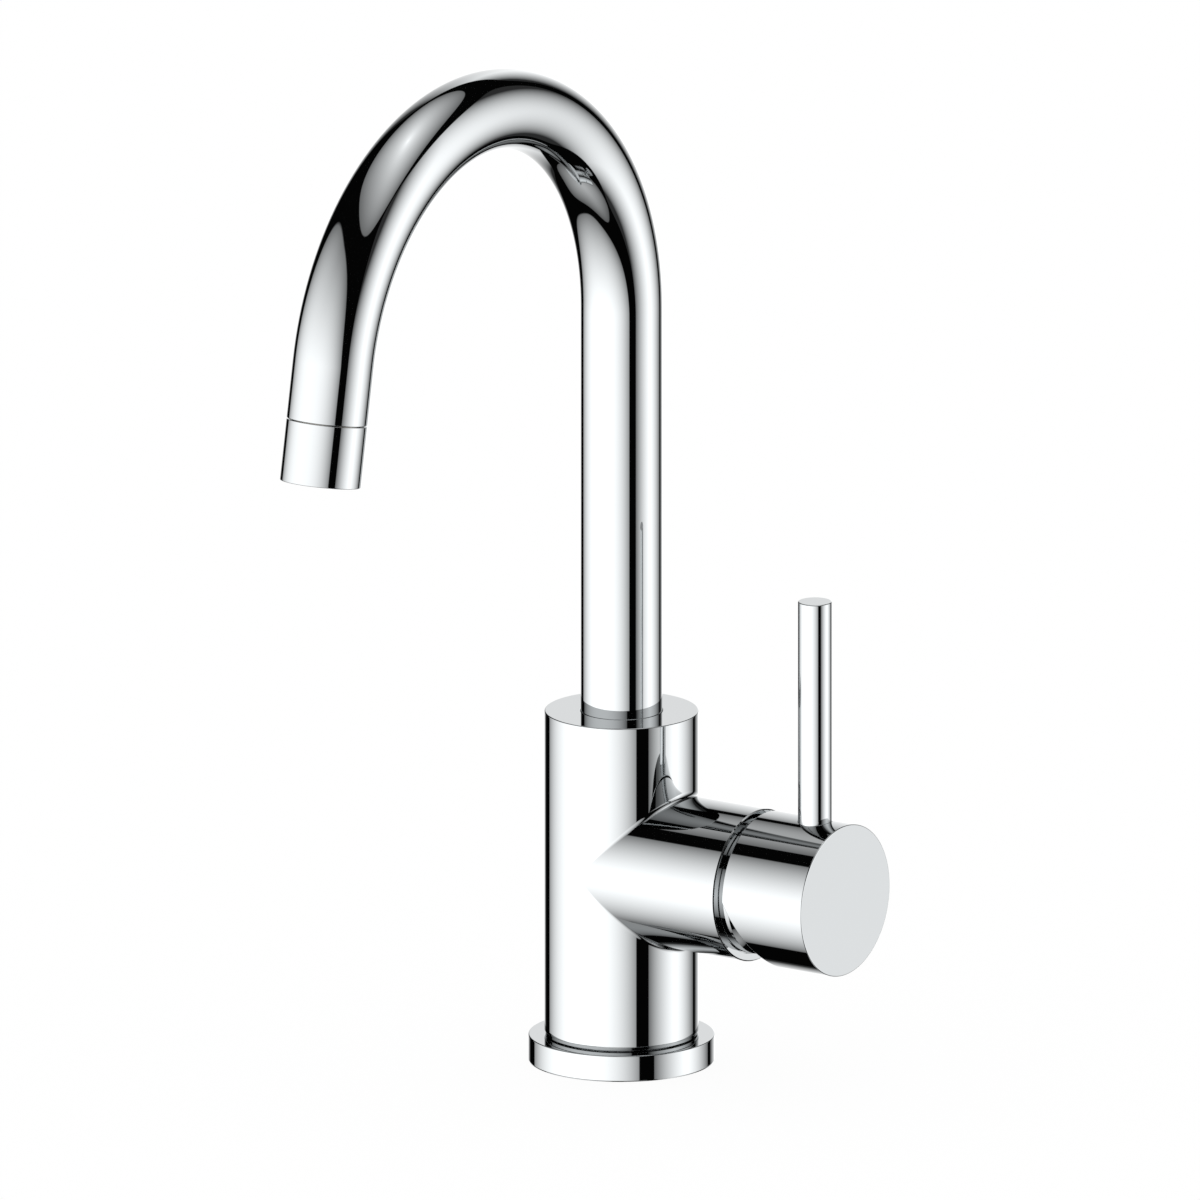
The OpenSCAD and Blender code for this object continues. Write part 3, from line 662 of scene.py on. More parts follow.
@dataclass
class Studio:
    """The camera at the photograph's angle, a white floor and a dark room hung with light panels."""

    azimuth: float = 35.35
    elevation: float = 14.47
    px_per_mm: float = 3.2125
    image_px: float = 1200.0
    origin_px: tuple[float, float] = (621.55, 1058.8)
    stand_off: float = 900.0
    clip: tuple[float, float] = (0.01, 20.0)
    floor_half: float = 6000.0
    floor_gap: float = 0.2
    floor_glow: float = 0.94
    even_level: float = 1.0
    mirror_share: float = 0.575
    crispness: float = 60.0
    ceiling_turn: float = 30.0
    dark_level: float = 0.0012
    walls: tuple[WallPanel, ...] = (
        WallPanel(-57.9, -10.5, 80.7, 58.7, 2.09, 1.2, 0.75, 2.4, 0.873, 1.334),
        WallPanel(88.2, -7.6, 47.4, 49.2, 9.6, 1.11, 0.87, 1.3, 0.538, 1.675),
        WallPanel(173.4, -9.3, 29.7, 43.5, 6.4, 1.02, 0.98, 1.114, 0.36, 2.6),
    )
    flats: tuple[FlatPanel, ...] = (
        FlatPanel(True, -0.09, -0.089, 1.198, 0.643, 2.09, 1.162, 0.891, 0.48),
        FlatPanel(False, 0.029, 0.001, 0.632, 0.274, 2.78, 0.428, 0.8, 1.162),
    )

    def axes(self) -> tuple[Vector, Vector, Vector]:
        """The camera's right, its up, and the way from the object back to it.

        Returns:
            The three unit vectors.
        """
        a, e = math.radians(self.azimuth), math.radians(self.elevation)
        right = Vector((math.cos(a), math.sin(a), 0.0))
        back = Vector((math.sin(a) * math.cos(e), -math.cos(a) * math.cos(e), math.sin(e)))
        return right, back.cross(right), back

    def add_camera(self) -> None:
        """A parallel view: the picture's middle lies where the frame's origin falls on its own pixel."""
        right, up, back = self.axes()
        middle = self.image_px / 2
        across = (middle - self.origin_px[0]) / self.px_per_mm
        above = (self.origin_px[1] - middle) / self.px_per_mm
        data = bpy.data.cameras.new("photo_camera")
        data.type = "ORTHO"
        data.ortho_scale = self.image_px / self.px_per_mm * MM
        data.clip_start, data.clip_end = self.clip
        camera = bpy.data.objects.new("photo_camera", data)
        camera.matrix_world = Matrix((right, up, back)).transposed().to_4x4()
        camera.location = (right * across + up * above + back * self.stand_off) * MM
        bpy.context.scene.collection.objects.link(camera)
        bpy.context.scene.camera = camera

    def add_floor(self) -> None:
        """A white floor that glows a little, so that it stays white and keeps a faint shadow.

        Mirror rays pass it by, because the photograph's chrome shows the panels below it, and from underneath
        it can be looked through.
        """
        half = self.floor_half * MM
        grid = np.array([[-half, -half], [half, -half], [half, half], [-half, half]])
        points = np.column_stack([grid, np.full(4, -self.floor_gap * MM)])
        mesh = bpy.data.meshes.new("floor")
        mesh.from_pydata(points.tolist(), [], [(0, 1, 2, 3)])
        floor = bpy.data.objects.new("floor", mesh)
        bpy.context.scene.collection.objects.link(floor)
        floor.visible_glossy = False
        material = bpy.data.materials.new("studio_floor")
        material.use_nodes = True
        graph = Graph(material.node_tree)
        glow = graph.out(graph.node("ShaderNodeEmission", None, {"Color": WHITE, "Strength": 1.0}))
        matt = graph.out(graph.node("ShaderNodeBsdfDiffuse", None, {"Color": WHITE}))
        top = graph.node("ShaderNodeMixShader", None, {0: 1.0 - self.floor_glow, 1: glow, 2: matt})
        clear = graph.node("ShaderNodeBsdfTransparent")
        under = graph.out(graph.node("ShaderNodeNewGeometry"), "Backfacing")
        both = graph.node("ShaderNodeMixShader", None, {0: under, 1: graph.out(top), 2: graph.out(clear)})
        graph.node("ShaderNodeOutputMaterial", None, {"Surface": graph.out(both)})
        mesh.materials.append(material)

    def add_light(self) -> None:
        """The room: white to the camera, the panels to mirrors, and an even light to everything matt.

        A direction's azimuth is atan2 of its shares to the right and to the near side, and its elevation is
        the arc sine of its height. The flat panels lie turned by the ceiling's turn.
        """
        world = bpy.data.worlds.new("studio")
        bpy.context.scene.world = world
        world.use_nodes = True
        graph = Graph(world.node_tree)
        way = graph.out(graph.node("ShaderNodeTexCoord"), "Generated")
        a, turn = math.radians(self.azimuth), math.radians(self.ceiling_turn)
        right = graph.dot(way, (math.cos(a), math.sin(a), 0.0))
        near = graph.dot(way, (math.sin(a), -math.cos(a), 0.0))
        height = graph.dot(way, (0.0, 0.0, 1.0))
        along = right * math.sin(turn) + near * math.cos(turn)
        across = near * math.sin(turn) - right * math.cos(turn)
        azimuth = right.math("ARCTAN2", near)
        elevation = height.clamp(-1.0, 1.0).math("ARCSINE")
        walls = sum(panel.light(graph, azimuth, elevation, self.crispness) for panel in self.walls)
        flats = sum(panel.light(graph, along, across, height, self.crispness) for panel in self.flats)
        rays = graph.node("ShaderNodeLightPath")
        seen = graph.out(rays, "Is Camera Ray").math("MAXIMUM", graph.out(rays, "Is Transmission Ray"))
        mirrored = graph.out(rays, "Is Glossy Ray")
        panels = (self.dark_level + walls + flats) / self.mirror_share
        level = mirrored * panels + (1.0 - mirrored) * self.even_level
        strength = seen + (1.0 - seen) * level
        light = graph.node("ShaderNodeBackground", None, {"Color": WHITE, "Strength": strength})
        graph.node("ShaderNodeOutputWorld", None, {"Surface": graph.out(light)})

    def set_up(self) -> None:
        """Adds the camera, the floor and the light."""
        self.add_camera()
        self.add_floor()
        self.add_light()
        bpy.context.scene.view_settings.view_transform = "Standard"
        LOG.info("the studio stands")


# ------------------------------------------------------------------------------ surfaces on grids


def rounded(corners: Sequence[Corner], closed: bool, steps: int = 5) -> tuple[Array, Array]:
    """Rounds the corners of an outline and gives its outward normals.

    Each corner becomes an arc. With d0 and d1 the unit vectors to its neighbours and h half the angle between
    them, the arc's centre lies at corner + (d0 + d1) / |d0 + d1| * radius / sin h, and it starts and ends
    radius / tan h from the corner. With first and last the spokes to its ends and w the angle between them, a
    spoke in between is (sin((1 - t) w) first + sin(t w) last) / sin w. The metal lies on the left of the way
    round, so a left turn is an outer edge and a right turn a fillet.

    Args:
        corners: distance from the axis, place along it and edge radius of each corner.
        closed: whether the last corner joins the first; if not, both end points stay as they are.
        steps: segments of each arc.

    Returns:
        Points and unit normals, two numbers each.
    """
    table = np.array(corners, float)
    place, radius = table[:, :2], table[:, 2]
    inner = slice(None) if closed else slice(1, -1)
    here, before, after = place[inner], np.roll(place, 1, 0)[inner], np.roll(place, -1, 0)[inner]
    back = (before - here) / np.linalg.norm(before - here, axis=1, keepdims=True)
    ahead = (after - here) / np.linalg.norm(after - here, axis=1, keepdims=True)
    half = np.arccos(np.clip((back * ahead).sum(1), -1, 1)) / 2
    middle = (back + ahead) / np.linalg.norm(back + ahead, axis=1, keepdims=True)
    size = radius[inner]
    centre = here + middle * (size / np.sin(half))[:, None]
    first = here + back * (size / np.tan(half))[:, None] - centre
    last = here + ahead * (size / np.tan(half))[:, None] - centre
    sweep = (np.pi - 2 * half)[:, None, None]
    share = np.linspace(0, 1, steps + 1)[None, :, None]
    arc = np.sin((1 - share) * sweep) * first[:, None] + np.sin(share * sweep) * last[:, None]
    arc /= np.sin(sweep)
    turn = np.sign(ahead[:, 0] * back[:, 1] - back[:, 0] * ahead[:, 1])
    points = (centre[:, None] + arc).reshape(-1, 2)
    normals = (arc * turn[:, None, None] / size[:, None, None]).reshape(-1, 2)
    if not closed:
        start, end = place[1] - place[0], place[-1] - place[-2]
        points = np.vstack([place[:1], points, place[-1:]])
        normals = np.vstack([[start[1], -start[0]], normals, [end[1], -end[0]]])
    return points, normals / np.linalg.norm(normals, axis=1, keepdims=True)


def refined(points: Array, normals: Array, spacing: float, closed: bool) -> tuple[Array, Array]:
    """Puts more points on the long straight stretches of an outline.

    A stretch of length l is cut into l / spacing equal parts, rounded up; normals mix in the same shares.

    Args:
        points: the outline.
        normals: its normals.
        spacing: the longest stretch that stays whole.
        closed: whether the last point joins the first.

    Returns:
        The finer outline and its normals.
    """
    ahead = np.roll(points, -1, 0)
    parts = np.maximum(1, np.ceil(np.linalg.norm(ahead - points, axis=1) / spacing)).astype(int)
    if not closed:
        parts[-1] = 1
    start = np.repeat(np.arange(len(points)), parts)
    step = np.arange(len(start)) - np.repeat(np.cumsum(parts) - parts, parts)
    share = (step / parts[start])[:, None]
    finer = points[start] * (1 - share) + ahead[start] * share
    turned = normals[start] * (1 - share) + np.roll(normals, -1, 0)[start] * share
    return finer, turned / np.linalg.norm(turned, axis=1, keepdims=True)


@dataclass(frozen=True)
class StraightAxis:
    """A straight axis: a place on it, its direction and a direction across it."""

    origin: tuple[float, float, float]
    direction: tuple[float, float, float]
    across: tuple[float, float, float]

    def frames(self, distance: Array) -> tuple[Array, Array, Array, Array]:
        """The point at a distance along the axis and the three unit vectors there.

        Args:
            distance: places along the axis.

        Returns:
            Points, axis directions, first and second cross directions.
        """
        along, across = np.array(self.direction, float), np.array(self.across, float)
        other = np.cross(along, across)
        ones = np.ones((len(distance), 1))
        point = np.array(self.origin, float) + distance[:, None] * along
        return point, ones * along, ones * across, ones * other


@dataclass(frozen=True)
class GooseneckPath:
    """The spout's centre line: a straight rise, an arc and a straight end."""

    start_z: float = 102.3
    rise_z: float = 241.9
    bend_r: float = 78.2
    bend_angle: float = 169.4
    tip_l: float = 18.3

    @property
    def rise_l(self) -> float:
        """Length of the rise."""
        return self.rise_z - self.start_z

    @property
    def bend_l(self) -> float:
        """Length of the bend along its centre line."""
        return self.bend_r * math.radians(self.bend_angle)

    @property
    def length(self) -> float:
        """Length of the whole path."""
        return self.rise_l + self.bend_l + self.tip_l

    def frames(self, distance: Array) -> tuple[Array, Array, Array, Array]:
        """The point at a distance along the path and the three unit vectors there.

        The angle turned is a = clamp((s - rise) / R, 0, bend). The point is (0, R (cos a - 1), z0 + R sin a),
        moved on by what is left of s along the tangent (0, -sin a, cos a), before the bend as after it.

        Args:
            distance: places along the path, from its lower end.

        Returns:
            Points, tangents, first and second cross directions.
        """
        turned = np.clip((distance - self.rise_l) / self.bend_r, 0, math.radians(self.bend_angle))
        straight = distance - self.rise_l - turned * self.bend_r
        zero = np.zeros_like(turned)
        cos, sin = np.cos(turned), np.sin(turned)
        tangent = np.stack([zero, -sin, cos], 1)
        bend = np.stack([zero, self.bend_r * (cos - 1), self.rise_z + self.bend_r * sin], 1)
        across = np.stack([np.ones_like(turned), zero, zero], 1)
        return bend + straight[:, None] * tangent, tangent, across, np.cross(tangent, across)


Axis = StraightAxis | GooseneckPath
UPRIGHT = StraightAxis((0, 0, 0), (0, 0, 1), (1, 0, 0))


@dataclass(frozen=True)
class Opening:
    """A round opening in a turned wall, square to it: its column, its place along the wall and its size."""

    column: int
    place: float
    radius: float
    edge: float


@dataclass(frozen=True)
class Rim:
    """The rim of a round opening in a turned wall."""

    points: Array
    spokes: Array
    centre: Array
    outward: Array
    radius: float

    def ring(self, radius: float, distance: float) -> Array:
        """A level circle round the opening's axis, at a distance from the wall's axis."""
        return self.centre + distance * self.outward + radius * self.spokes


def ruled(first: Array, last: Array, normals: Array, rows: int = 1) -> tuple[Array, Array]:
    """The surface of straight lines between two curves: (1 - t) first + t last.

    Args:
        first: points of the first curve.
        last: as many points of the last curve.
        normals: the surface's normals along them.
        rows: how many steps t takes from 0 to 1.

    Returns:
        A grid of points and one of normals.
    """
    share = np.linspace(0, 1, rows + 1)[:, None, None]
    return (1 - share) * first + share * last, np.broadcast_to(normals, (rows + 1, *first.shape))


def box_mm(node: str) -> tuple[Array, Array]:
    """The lowest and the highest corner of a CAD node, in millimetres."""
    low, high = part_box(node)
    return np.array(low) / MM, np.array(high) / MM


def carried(points: Array, normals: Array, path: Axis, columns: int) -> tuple[Array, Array]:
    """Carries an outline round a straight or bent axis.

    A point at distance r from the axis and place s along it goes to P(s) + r (cos t A(s) + sin t B(s)), with
    P the axis and A and B its cross directions; its normal is carried in the same way.

    Args:
        points: the outline as (r, s).
        normals: its normals as (out, along).
        path: the axis.
        columns: how many angles t there are.

    Returns:
        A grid of points and one of normals, one row for each outline point.
    """
    point, along, first, second = path.frames(points[:, 1])
    angle = np.arange(columns) * 2 * np.pi / columns
    spoke = first[:, None] * np.cos(angle)[None, :, None] + second[:, None] * np.sin(angle)[None, :, None]
    grid = point[:, None] + points[:, :1, None] * spoke
    return grid, normals[:, :1, None] * spoke + (normals[:, 1:, None] * along[:, None])


@dataclass
class Skin:
    """A closed skin sewn from grids of points that carry their true normals."""

    WINDOW_STEPS = 5
    EDGE_STEPS = 4

    name: str
    points: list[Array] = field(default_factory=list)
    normals: list[Array] = field(default_factory=list)
    quads: list[Array] = field(default_factory=list)
    count: int = 0

    def add(self, points: Array, normals: Array, wrap_rows: bool = False, wrap_columns: bool = True) -> None:
        """Adds a grid, its faces turned to the side that its normals show.

        Args:
            points: rows by columns by three, in millimetres.
            normals: the same for the normals.
            wrap_rows: whether the last row joins the first.
            wrap_columns: whether the last column joins the first.
        """
        rows, columns = points.shape[:2]
        number = np.arange(rows * columns).reshape(rows, columns)
        if wrap_columns:
            number = np.hstack([number, number[:, :1]])
        if wrap_rows:
            number = np.vstack([number, number[:1]])
        corners = [number[:-1, :-1], number[1:, :-1], number[1:, 1:], number[:-1, 1:]]
        quads = np.stack(corners, -1).reshape(-1, 4)
        flat, out = points.reshape(-1, 3), normals.reshape(-1, 3)
        a, b, c, d = (flat[quads[:, i]] for i in range(4))
        facing = (np.cross(c - a, d - b) * out[quads].sum(1)).sum(1)
        quads[facing < 0] = quads[facing < 0][:, ::-1]
        self.points.append(flat)
        self.normals.append(out)
        self.quads.append(quads + self.count)
        self.count += len(flat)

    def turn(
        self,
        corners: Sequence[Corner],
        path: Axis = UPRIGHT,
        closed: bool = True,
        columns: int = 128,
        spacing: float = math.inf,
    ) -> None:
        """Adds a surface of revolution with rounded edges.

        Args:
            corners: distance from the axis, place along it and edge radius of each corner, metal on the left.
            path: the axis.
            closed: whether the outline closes on itself.
            columns: how many angles there are round the axis.
            spacing: the longest stretch of outline without a row.
        """
        outline = refined(*rounded(corners, closed), spacing, closed)
        self.add(*carried(*outline, path, columns), wrap_rows=closed)

    def band(
        self,
        axis: StraightAxis,
        radius: float,
        ends: tuple[float, float],
        openings: Sequence[Opening],
        columns: int,
        facing: float = 1.0,
        half_window: int = 8,
    ) -> list[Rim]:
        """Adds a band of a turned wall with round openings, each in a window of the band's own grid.

        A place in a window is (w, s), with w its distance sideward from the opening's axis and s its distance
        along the wall from the opening's centre. The window's grid runs straight from the window's rim to the
        opening's edge, and every place stands at the height sqrt(R^2 - w^2) over the wall's axis. The edge is
        a quarter round: with q from 0 to 90 degrees it lies at the distance r + e (1 - sin q) and
        e (1 - cos q) deep.

        Args:
            axis: the wall's axis.
            radius: the wall's radius.
            ends: the band's first and last place along the axis.
            openings: the openings, in the order of their columns.
            columns: how many columns the whole wall has.
            facing: 1 for a wall that looks outwards, -1 for a bore.
            half_window: how many columns a window reaches to each side.

        Returns:
            The rims of the openings.
        """
        step = 2 * np.pi / columns
        origin, along, first, second = (part[0] for part in axis.frames(np.zeros(1)))
        turn = np.arange(columns)[:, None] * step
        spoke = np.cos(turn) * first + np.sin(turn) * second
        low, high = (origin + place * along + radius * spoke for place in ends)
        side = 2 * half_window
        for here, following in zip(openings, (*openings[1:], openings[0])):
            gap = (following.column - here.column - 1) % columns + 1 - side
            strip = (here.column + half_window + np.arange(gap + 1)) % columns
            self.add(*ruled(low[strip], high[strip], facing * spoke[strip], side), wrap_columns=False)
        return [
            self._window(axis, radius, ends, opening, opening.column * step, half_window * step, side, facing)
            for opening in openings
        ]

    def _window(
        self,
        axis: StraightAxis,
        radius: float,
        ends: tuple[float, float],
        opening: Opening,
        turned: float,
        reach: float,
        side: int,
        facing: float,
    ) -> Rim:
        """Adds one window of a band.

        The window's rim and the opening's edge are both gone round from the lower left, at -135 degrees.

        Args:
            axis: the wall's axis.
            radius: the wall's radius.
            ends: the band's first and last place along the axis.
            opening: the opening.
            turned: its angle round the wall.
            reach: the window's half angle.
            side: how many steps each side of the window has.
            facing: 1 for a wall that looks outwards, -1 for a bore.

        Returns:
            The opening's rim.
        """
        origin, along, first, second = (part[0] for part in axis.frames(np.zeros(1)))
        outward = np.cos(turned) * first + np.sin(turned) * second
        sideward = np.cos(turned) * second - np.sin(turned) * first
        centre = origin + opening.place * along
        wide = radius * np.sin(np.linspace(-reach, reach, side + 1))
        tall = np.linspace(ends[0], ends[1], side + 1) - opening.place
        window = np.vstack(
            [
                np.column_stack([wide[:-1], np.full(side, tall[0])]),
                np.column_stack([np.full(side, wide[-1]), tall[:-1]]),
                np.column_stack([wide[:0:-1], np.full(side, tall[-1])]),
                np.column_stack([np.full(side, wide[0]), tall[:0:-1]]),
            ]
        )
        angle = -0.75 * np.pi + np.arange(4 * side) * np.pi / (2 * side)
        circle = np.column_stack([np.cos(angle), np.sin(angle)])
        spokes = circle[:, :1] * sideward + circle[:, 1:] * along
        share = np.linspace(0, 1, self.WINDOW_STEPS + 1)[:, None, None]
        quarter = np.linspace(0, np.pi / 2, self.EDGE_STEPS + 1)[:, None, None]
        flat = (1 - share) * window + share * circle * (opening.radius + opening.edge)
        curl = circle * (opening.radius + opening.edge * (1 - np.sin(quarter)))

        def rolled(places: Array, deep: Array | float) -> tuple[Array, Array]:
            """Puts window places on the wall, sunk by a depth.

            Args:
                places: the places as (w, s).
                deep: how deep they lie under the wall.

            Returns:
                Points and the wall's normals there.
            """
            height = np.sqrt(radius**2 - places[..., :1] ** 2)
            normal = (places[..., :1] * sideward + height * outward) * (facing / radius)
            sunk = height - facing * deep
            return centre + places[..., :1] * sideward + places[..., 1:] * along + sunk * outward, normal

        self.add(*rolled(flat, 0.0))
        points, normals = rolled(curl, opening.edge * (1 - np.cos(quarter)))
        self.add(points, np.cos(quarter) * normals - np.sin(quarter) * spokes)
        return Rim(points[-1], spokes, centre, outward, opening.radius)

    def drill(self, rim: Rim, steps: Sequence[tuple[float, float]]) -> None:
        """Adds a blind hole behind an opening, down to the floor of its last step.

        Args:
            rim: the opening's rim.
            steps: the radius of each step and its floor's distance from the wall's axis.
        """
        above = rim.points
        for (radius, distance), (narrower, _) in zip(steps, (*steps[1:], (0.0, 0.0))):
            floor = rim.ring(radius, distance)
            self.add(*ruled(above, floor, -rim.spokes))
            above = rim.ring(narrower, distance)
            self.add(*ruled(floor, above, rim.outward))

    def blind(
        self, mouth: StraightAxis, steps: Sequence[tuple[float, float]], edge: float = 0.15, columns: int = 48
    ) -> None:
        """Adds a round blind hole in a flat plate, with a narrow land round it to fill the plate up to.

        Args:
            mouth: its axis, which points out of the plate.
            steps: the radius of each step and how deep it reaches.
            edge: radius of its edges.
            columns: how many angles it has.
        """
        outline = [(steps[0][0] + 2 * edge, 0.0, 0.0), (steps[0][0], 0.0, edge)]
        for (radius, depth), (narrower, _) in zip(steps, (*steps[1:], (0.0, 0.0))):
            outline += [(radius, -depth, edge), (narrower, -depth, edge if narrower else 0.0)]
        self.turn(outline, mouth, closed=False, columns=columns)

    def piece(self, plates: Sequence[tuple[int, float]] = ()) -> bpy.types.Object:
        """Sews the grids together and makes the piece.

        Args:
            plates: the axis number and the place of each flat plate to fill between open rims.

        Returns:
            The new object, with every vertex at the true normal.
        """
        mesh = bpy.data.meshes.new(self.name)
        quads = np.vstack(self.quads)
        points = np.vstack(self.points) * MM
        mesh.vertices.add(len(points))
        mesh.vertices.foreach_set("co", points.astype(np.float32).ravel())
        mesh.loops.add(quads.size)
        mesh.loops.foreach_set("vertex_index", quads.astype(np.int32).ravel())
        mesh.polygons.add(len(quads))
        mesh.polygons.foreach_set("loop_start", np.arange(0, quads.size, 4, dtype=np.int32))
        mesh.update(calc_edges=True)
        kept = mesh.attributes.new(TRUE_NORMAL, "FLOAT_VECTOR", "POINT")
        kept.data.foreach_set("vector", np.vstack(self.normals).astype(np.float32).ravel())
        sewn = bmesh.new()
        sewn.from_mesh(mesh)
        bmesh.ops.remove_doubles(sewn, verts=sewn.verts, dist=WELD)
        for axis, place in plates:
            level = place * MM
            rims = [
                edge
                for edge in sewn.edges
                if edge.is_boundary and all(abs(vert.co[axis] - level) < WELD for vert in edge.verts)
            ]
            bmesh.ops.triangle_fill(sewn, edges=rims, use_beauty=True)
        bmesh.ops.recalc_face_normals(sewn, faces=sewn.faces)
        open_edges = sum(not e.is_manifold for e in sewn.edges)
        volume = sewn.calc_volume(signed=True)
        sewn.to_mesh(mesh)
        sewn.free()
        self._set_normals(mesh)
        made = bpy.data.objects.new(self.name, mesh)
        bpy.context.scene.collection.objects.link(made)
        size = len(mesh.polygons), volume / MM**3, open_edges
        LOG.info("%s: %d faces, %.0f mm3, %d open edges", self.name, *size)
        return made

    @staticmethod
    def _set_normals(mesh: bpy.types.Mesh) -> None:
        """Shades the mesh by the true normals that its vertices carry.

        Args:
            mesh: the sewn mesh, with the normals in an attribute.
        """
        kept = mesh.attributes[TRUE_NORMAL]
        normals = np.empty(len(mesh.vertices) * 3, np.float32)
        kept.data.foreach_get("vector", normals)
        mesh.attributes.remove(kept)
        mesh.polygons.foreach_set("use_smooth", np.ones(len(mesh.polygons), bool))
        mesh.normals_split_custom_set_from_vertices(normals.reshape(-1, 3).tolist())
        mesh.update()


# ------------------------------------------------------------------------------ sub-assemblies


def branch_height() -> float:
    """Height of the branch's axis, in millimetres: the lever tilts about a point on it."""
    pivot = next(joint for joint in frame["joints"] if joint["name"] == "flow_tilt")
    return pivot["pos_m"][2] / MM


@dataclass
class Spout:
    """The swivelling gooseneck: tube, bearing stem with rings and seals."""

    path: GooseneckPath = GooseneckPath()
    tube_r: float = 12.7
    tube_wall: float = 1.2
    edge: float = 0.2
    end_edge: float = 0.25
    columns: int = 128
    row_spacing: float = 3.0

    def build(self) -> bpy.types.Object:
        """The tube: its wall's outline, a thin upright rectangle, carried along the gooseneck's path.

        Returns:
            The tube.
        """
        bore, end = self.tube_r - self.tube_wall, self.path.length
        skin = Skin("spout_tube_drawn")
        skin.turn(
            [
                (bore, 0, self.edge),
                (self.tube_r, 0, self.edge),
                (self.tube_r, end, self.end_edge),
                (bore, end, self.edge),
            ],
            self.path,
            columns=self.columns,
            spacing=self.row_spacing,
        )
        tube = skin.piece()
        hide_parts("spout_tube")
        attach(tube, "spout")
        return tube

    def dress(self, wardrobe: Wardrobe, tube: bpy.types.Object) -> None:
        """Chromes the tube and gives the bearing its brass, plastic and rubber.

        Args:
            wardrobe: the finishes.
            tube: the new tube.
        """
        wardrobe.wear(CHROME, tube)
        wardrobe.wear_nodes(BRASS_UPRIGHT, "spout_stem")
        wardrobe.wear_nodes(ACETAL, "lower_slip_ring", "upper_slip_ring")
        wardrobe.wear_nodes(RUBBER, "spout_o_rings")


@dataclass
class Aerator:
    """The aerator at the spout's end, behind a thin seam."""

    path: GooseneckPath = GooseneckPath()
    tube_r: float = 12.7
    seam: float = 0.3
    shell_l: float = 19.4
    shell_wall: float = 1.7
    lip_w: float = 1.0
    lip_h: float = 2.0
    edge: float = 0.3
    fine_edge: float = 0.15
    columns: int = 128

    def build(self) -> bpy.types.Object:
        """The shell: a turned sleeve with an inward lip at its mouth.

        Returns:
            The shell.
        """
        bend_end = np.array([self.path.rise_l + self.path.bend_l])
        point, along, across, _ = (part[0] for part in self.path.frames(bend_end))
        axis = StraightAxis(tuple(point), tuple(along), tuple(across))
        start = self.path.tip_l + self.seam
        mouth = self.path.tip_l + self.shell_l + self.seam
        bore = self.tube_r - self.shell_wall
        lip = bore - self.lip_w
        skin = Skin("aerator_shell_turned")
        skin.turn(
            [
                (bore, start, self.fine_edge),
                (self.tube_r, start, self.fine_edge),
                (self.tube_r, mouth, self.edge),
                (lip, mouth, self.fine_edge),
                (lip, mouth - self.lip_h, self.fine_edge),
                (bore, mouth - self.lip_h, self.fine_edge),
            ],
            axis,
            columns=self.columns,
        )
        shell = skin.piece()
        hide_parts("aerator_shell")
        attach(shell, "spout")
        return shell

    def dress(self, wardrobe: Wardrobe, shell: bpy.types.Object) -> None:
        """Chromes the shell and gives the insert its plastic, rubber and steel.

        Args:
            wardrobe: the finishes.
            shell: the new shell.
        """
        wardrobe.wear(CHROME, shell)
        wardrobe.wear_nodes(PLATED_TIP, "tip_adapter")
        wardrobe.wear_nodes(RUBBER, "aerator_washer")
        wardrobe.wear_nodes(STEEL, "aerator_screen")
        wardrobe.wear_nodes(CORE_PLASTIC, "aerator_core")


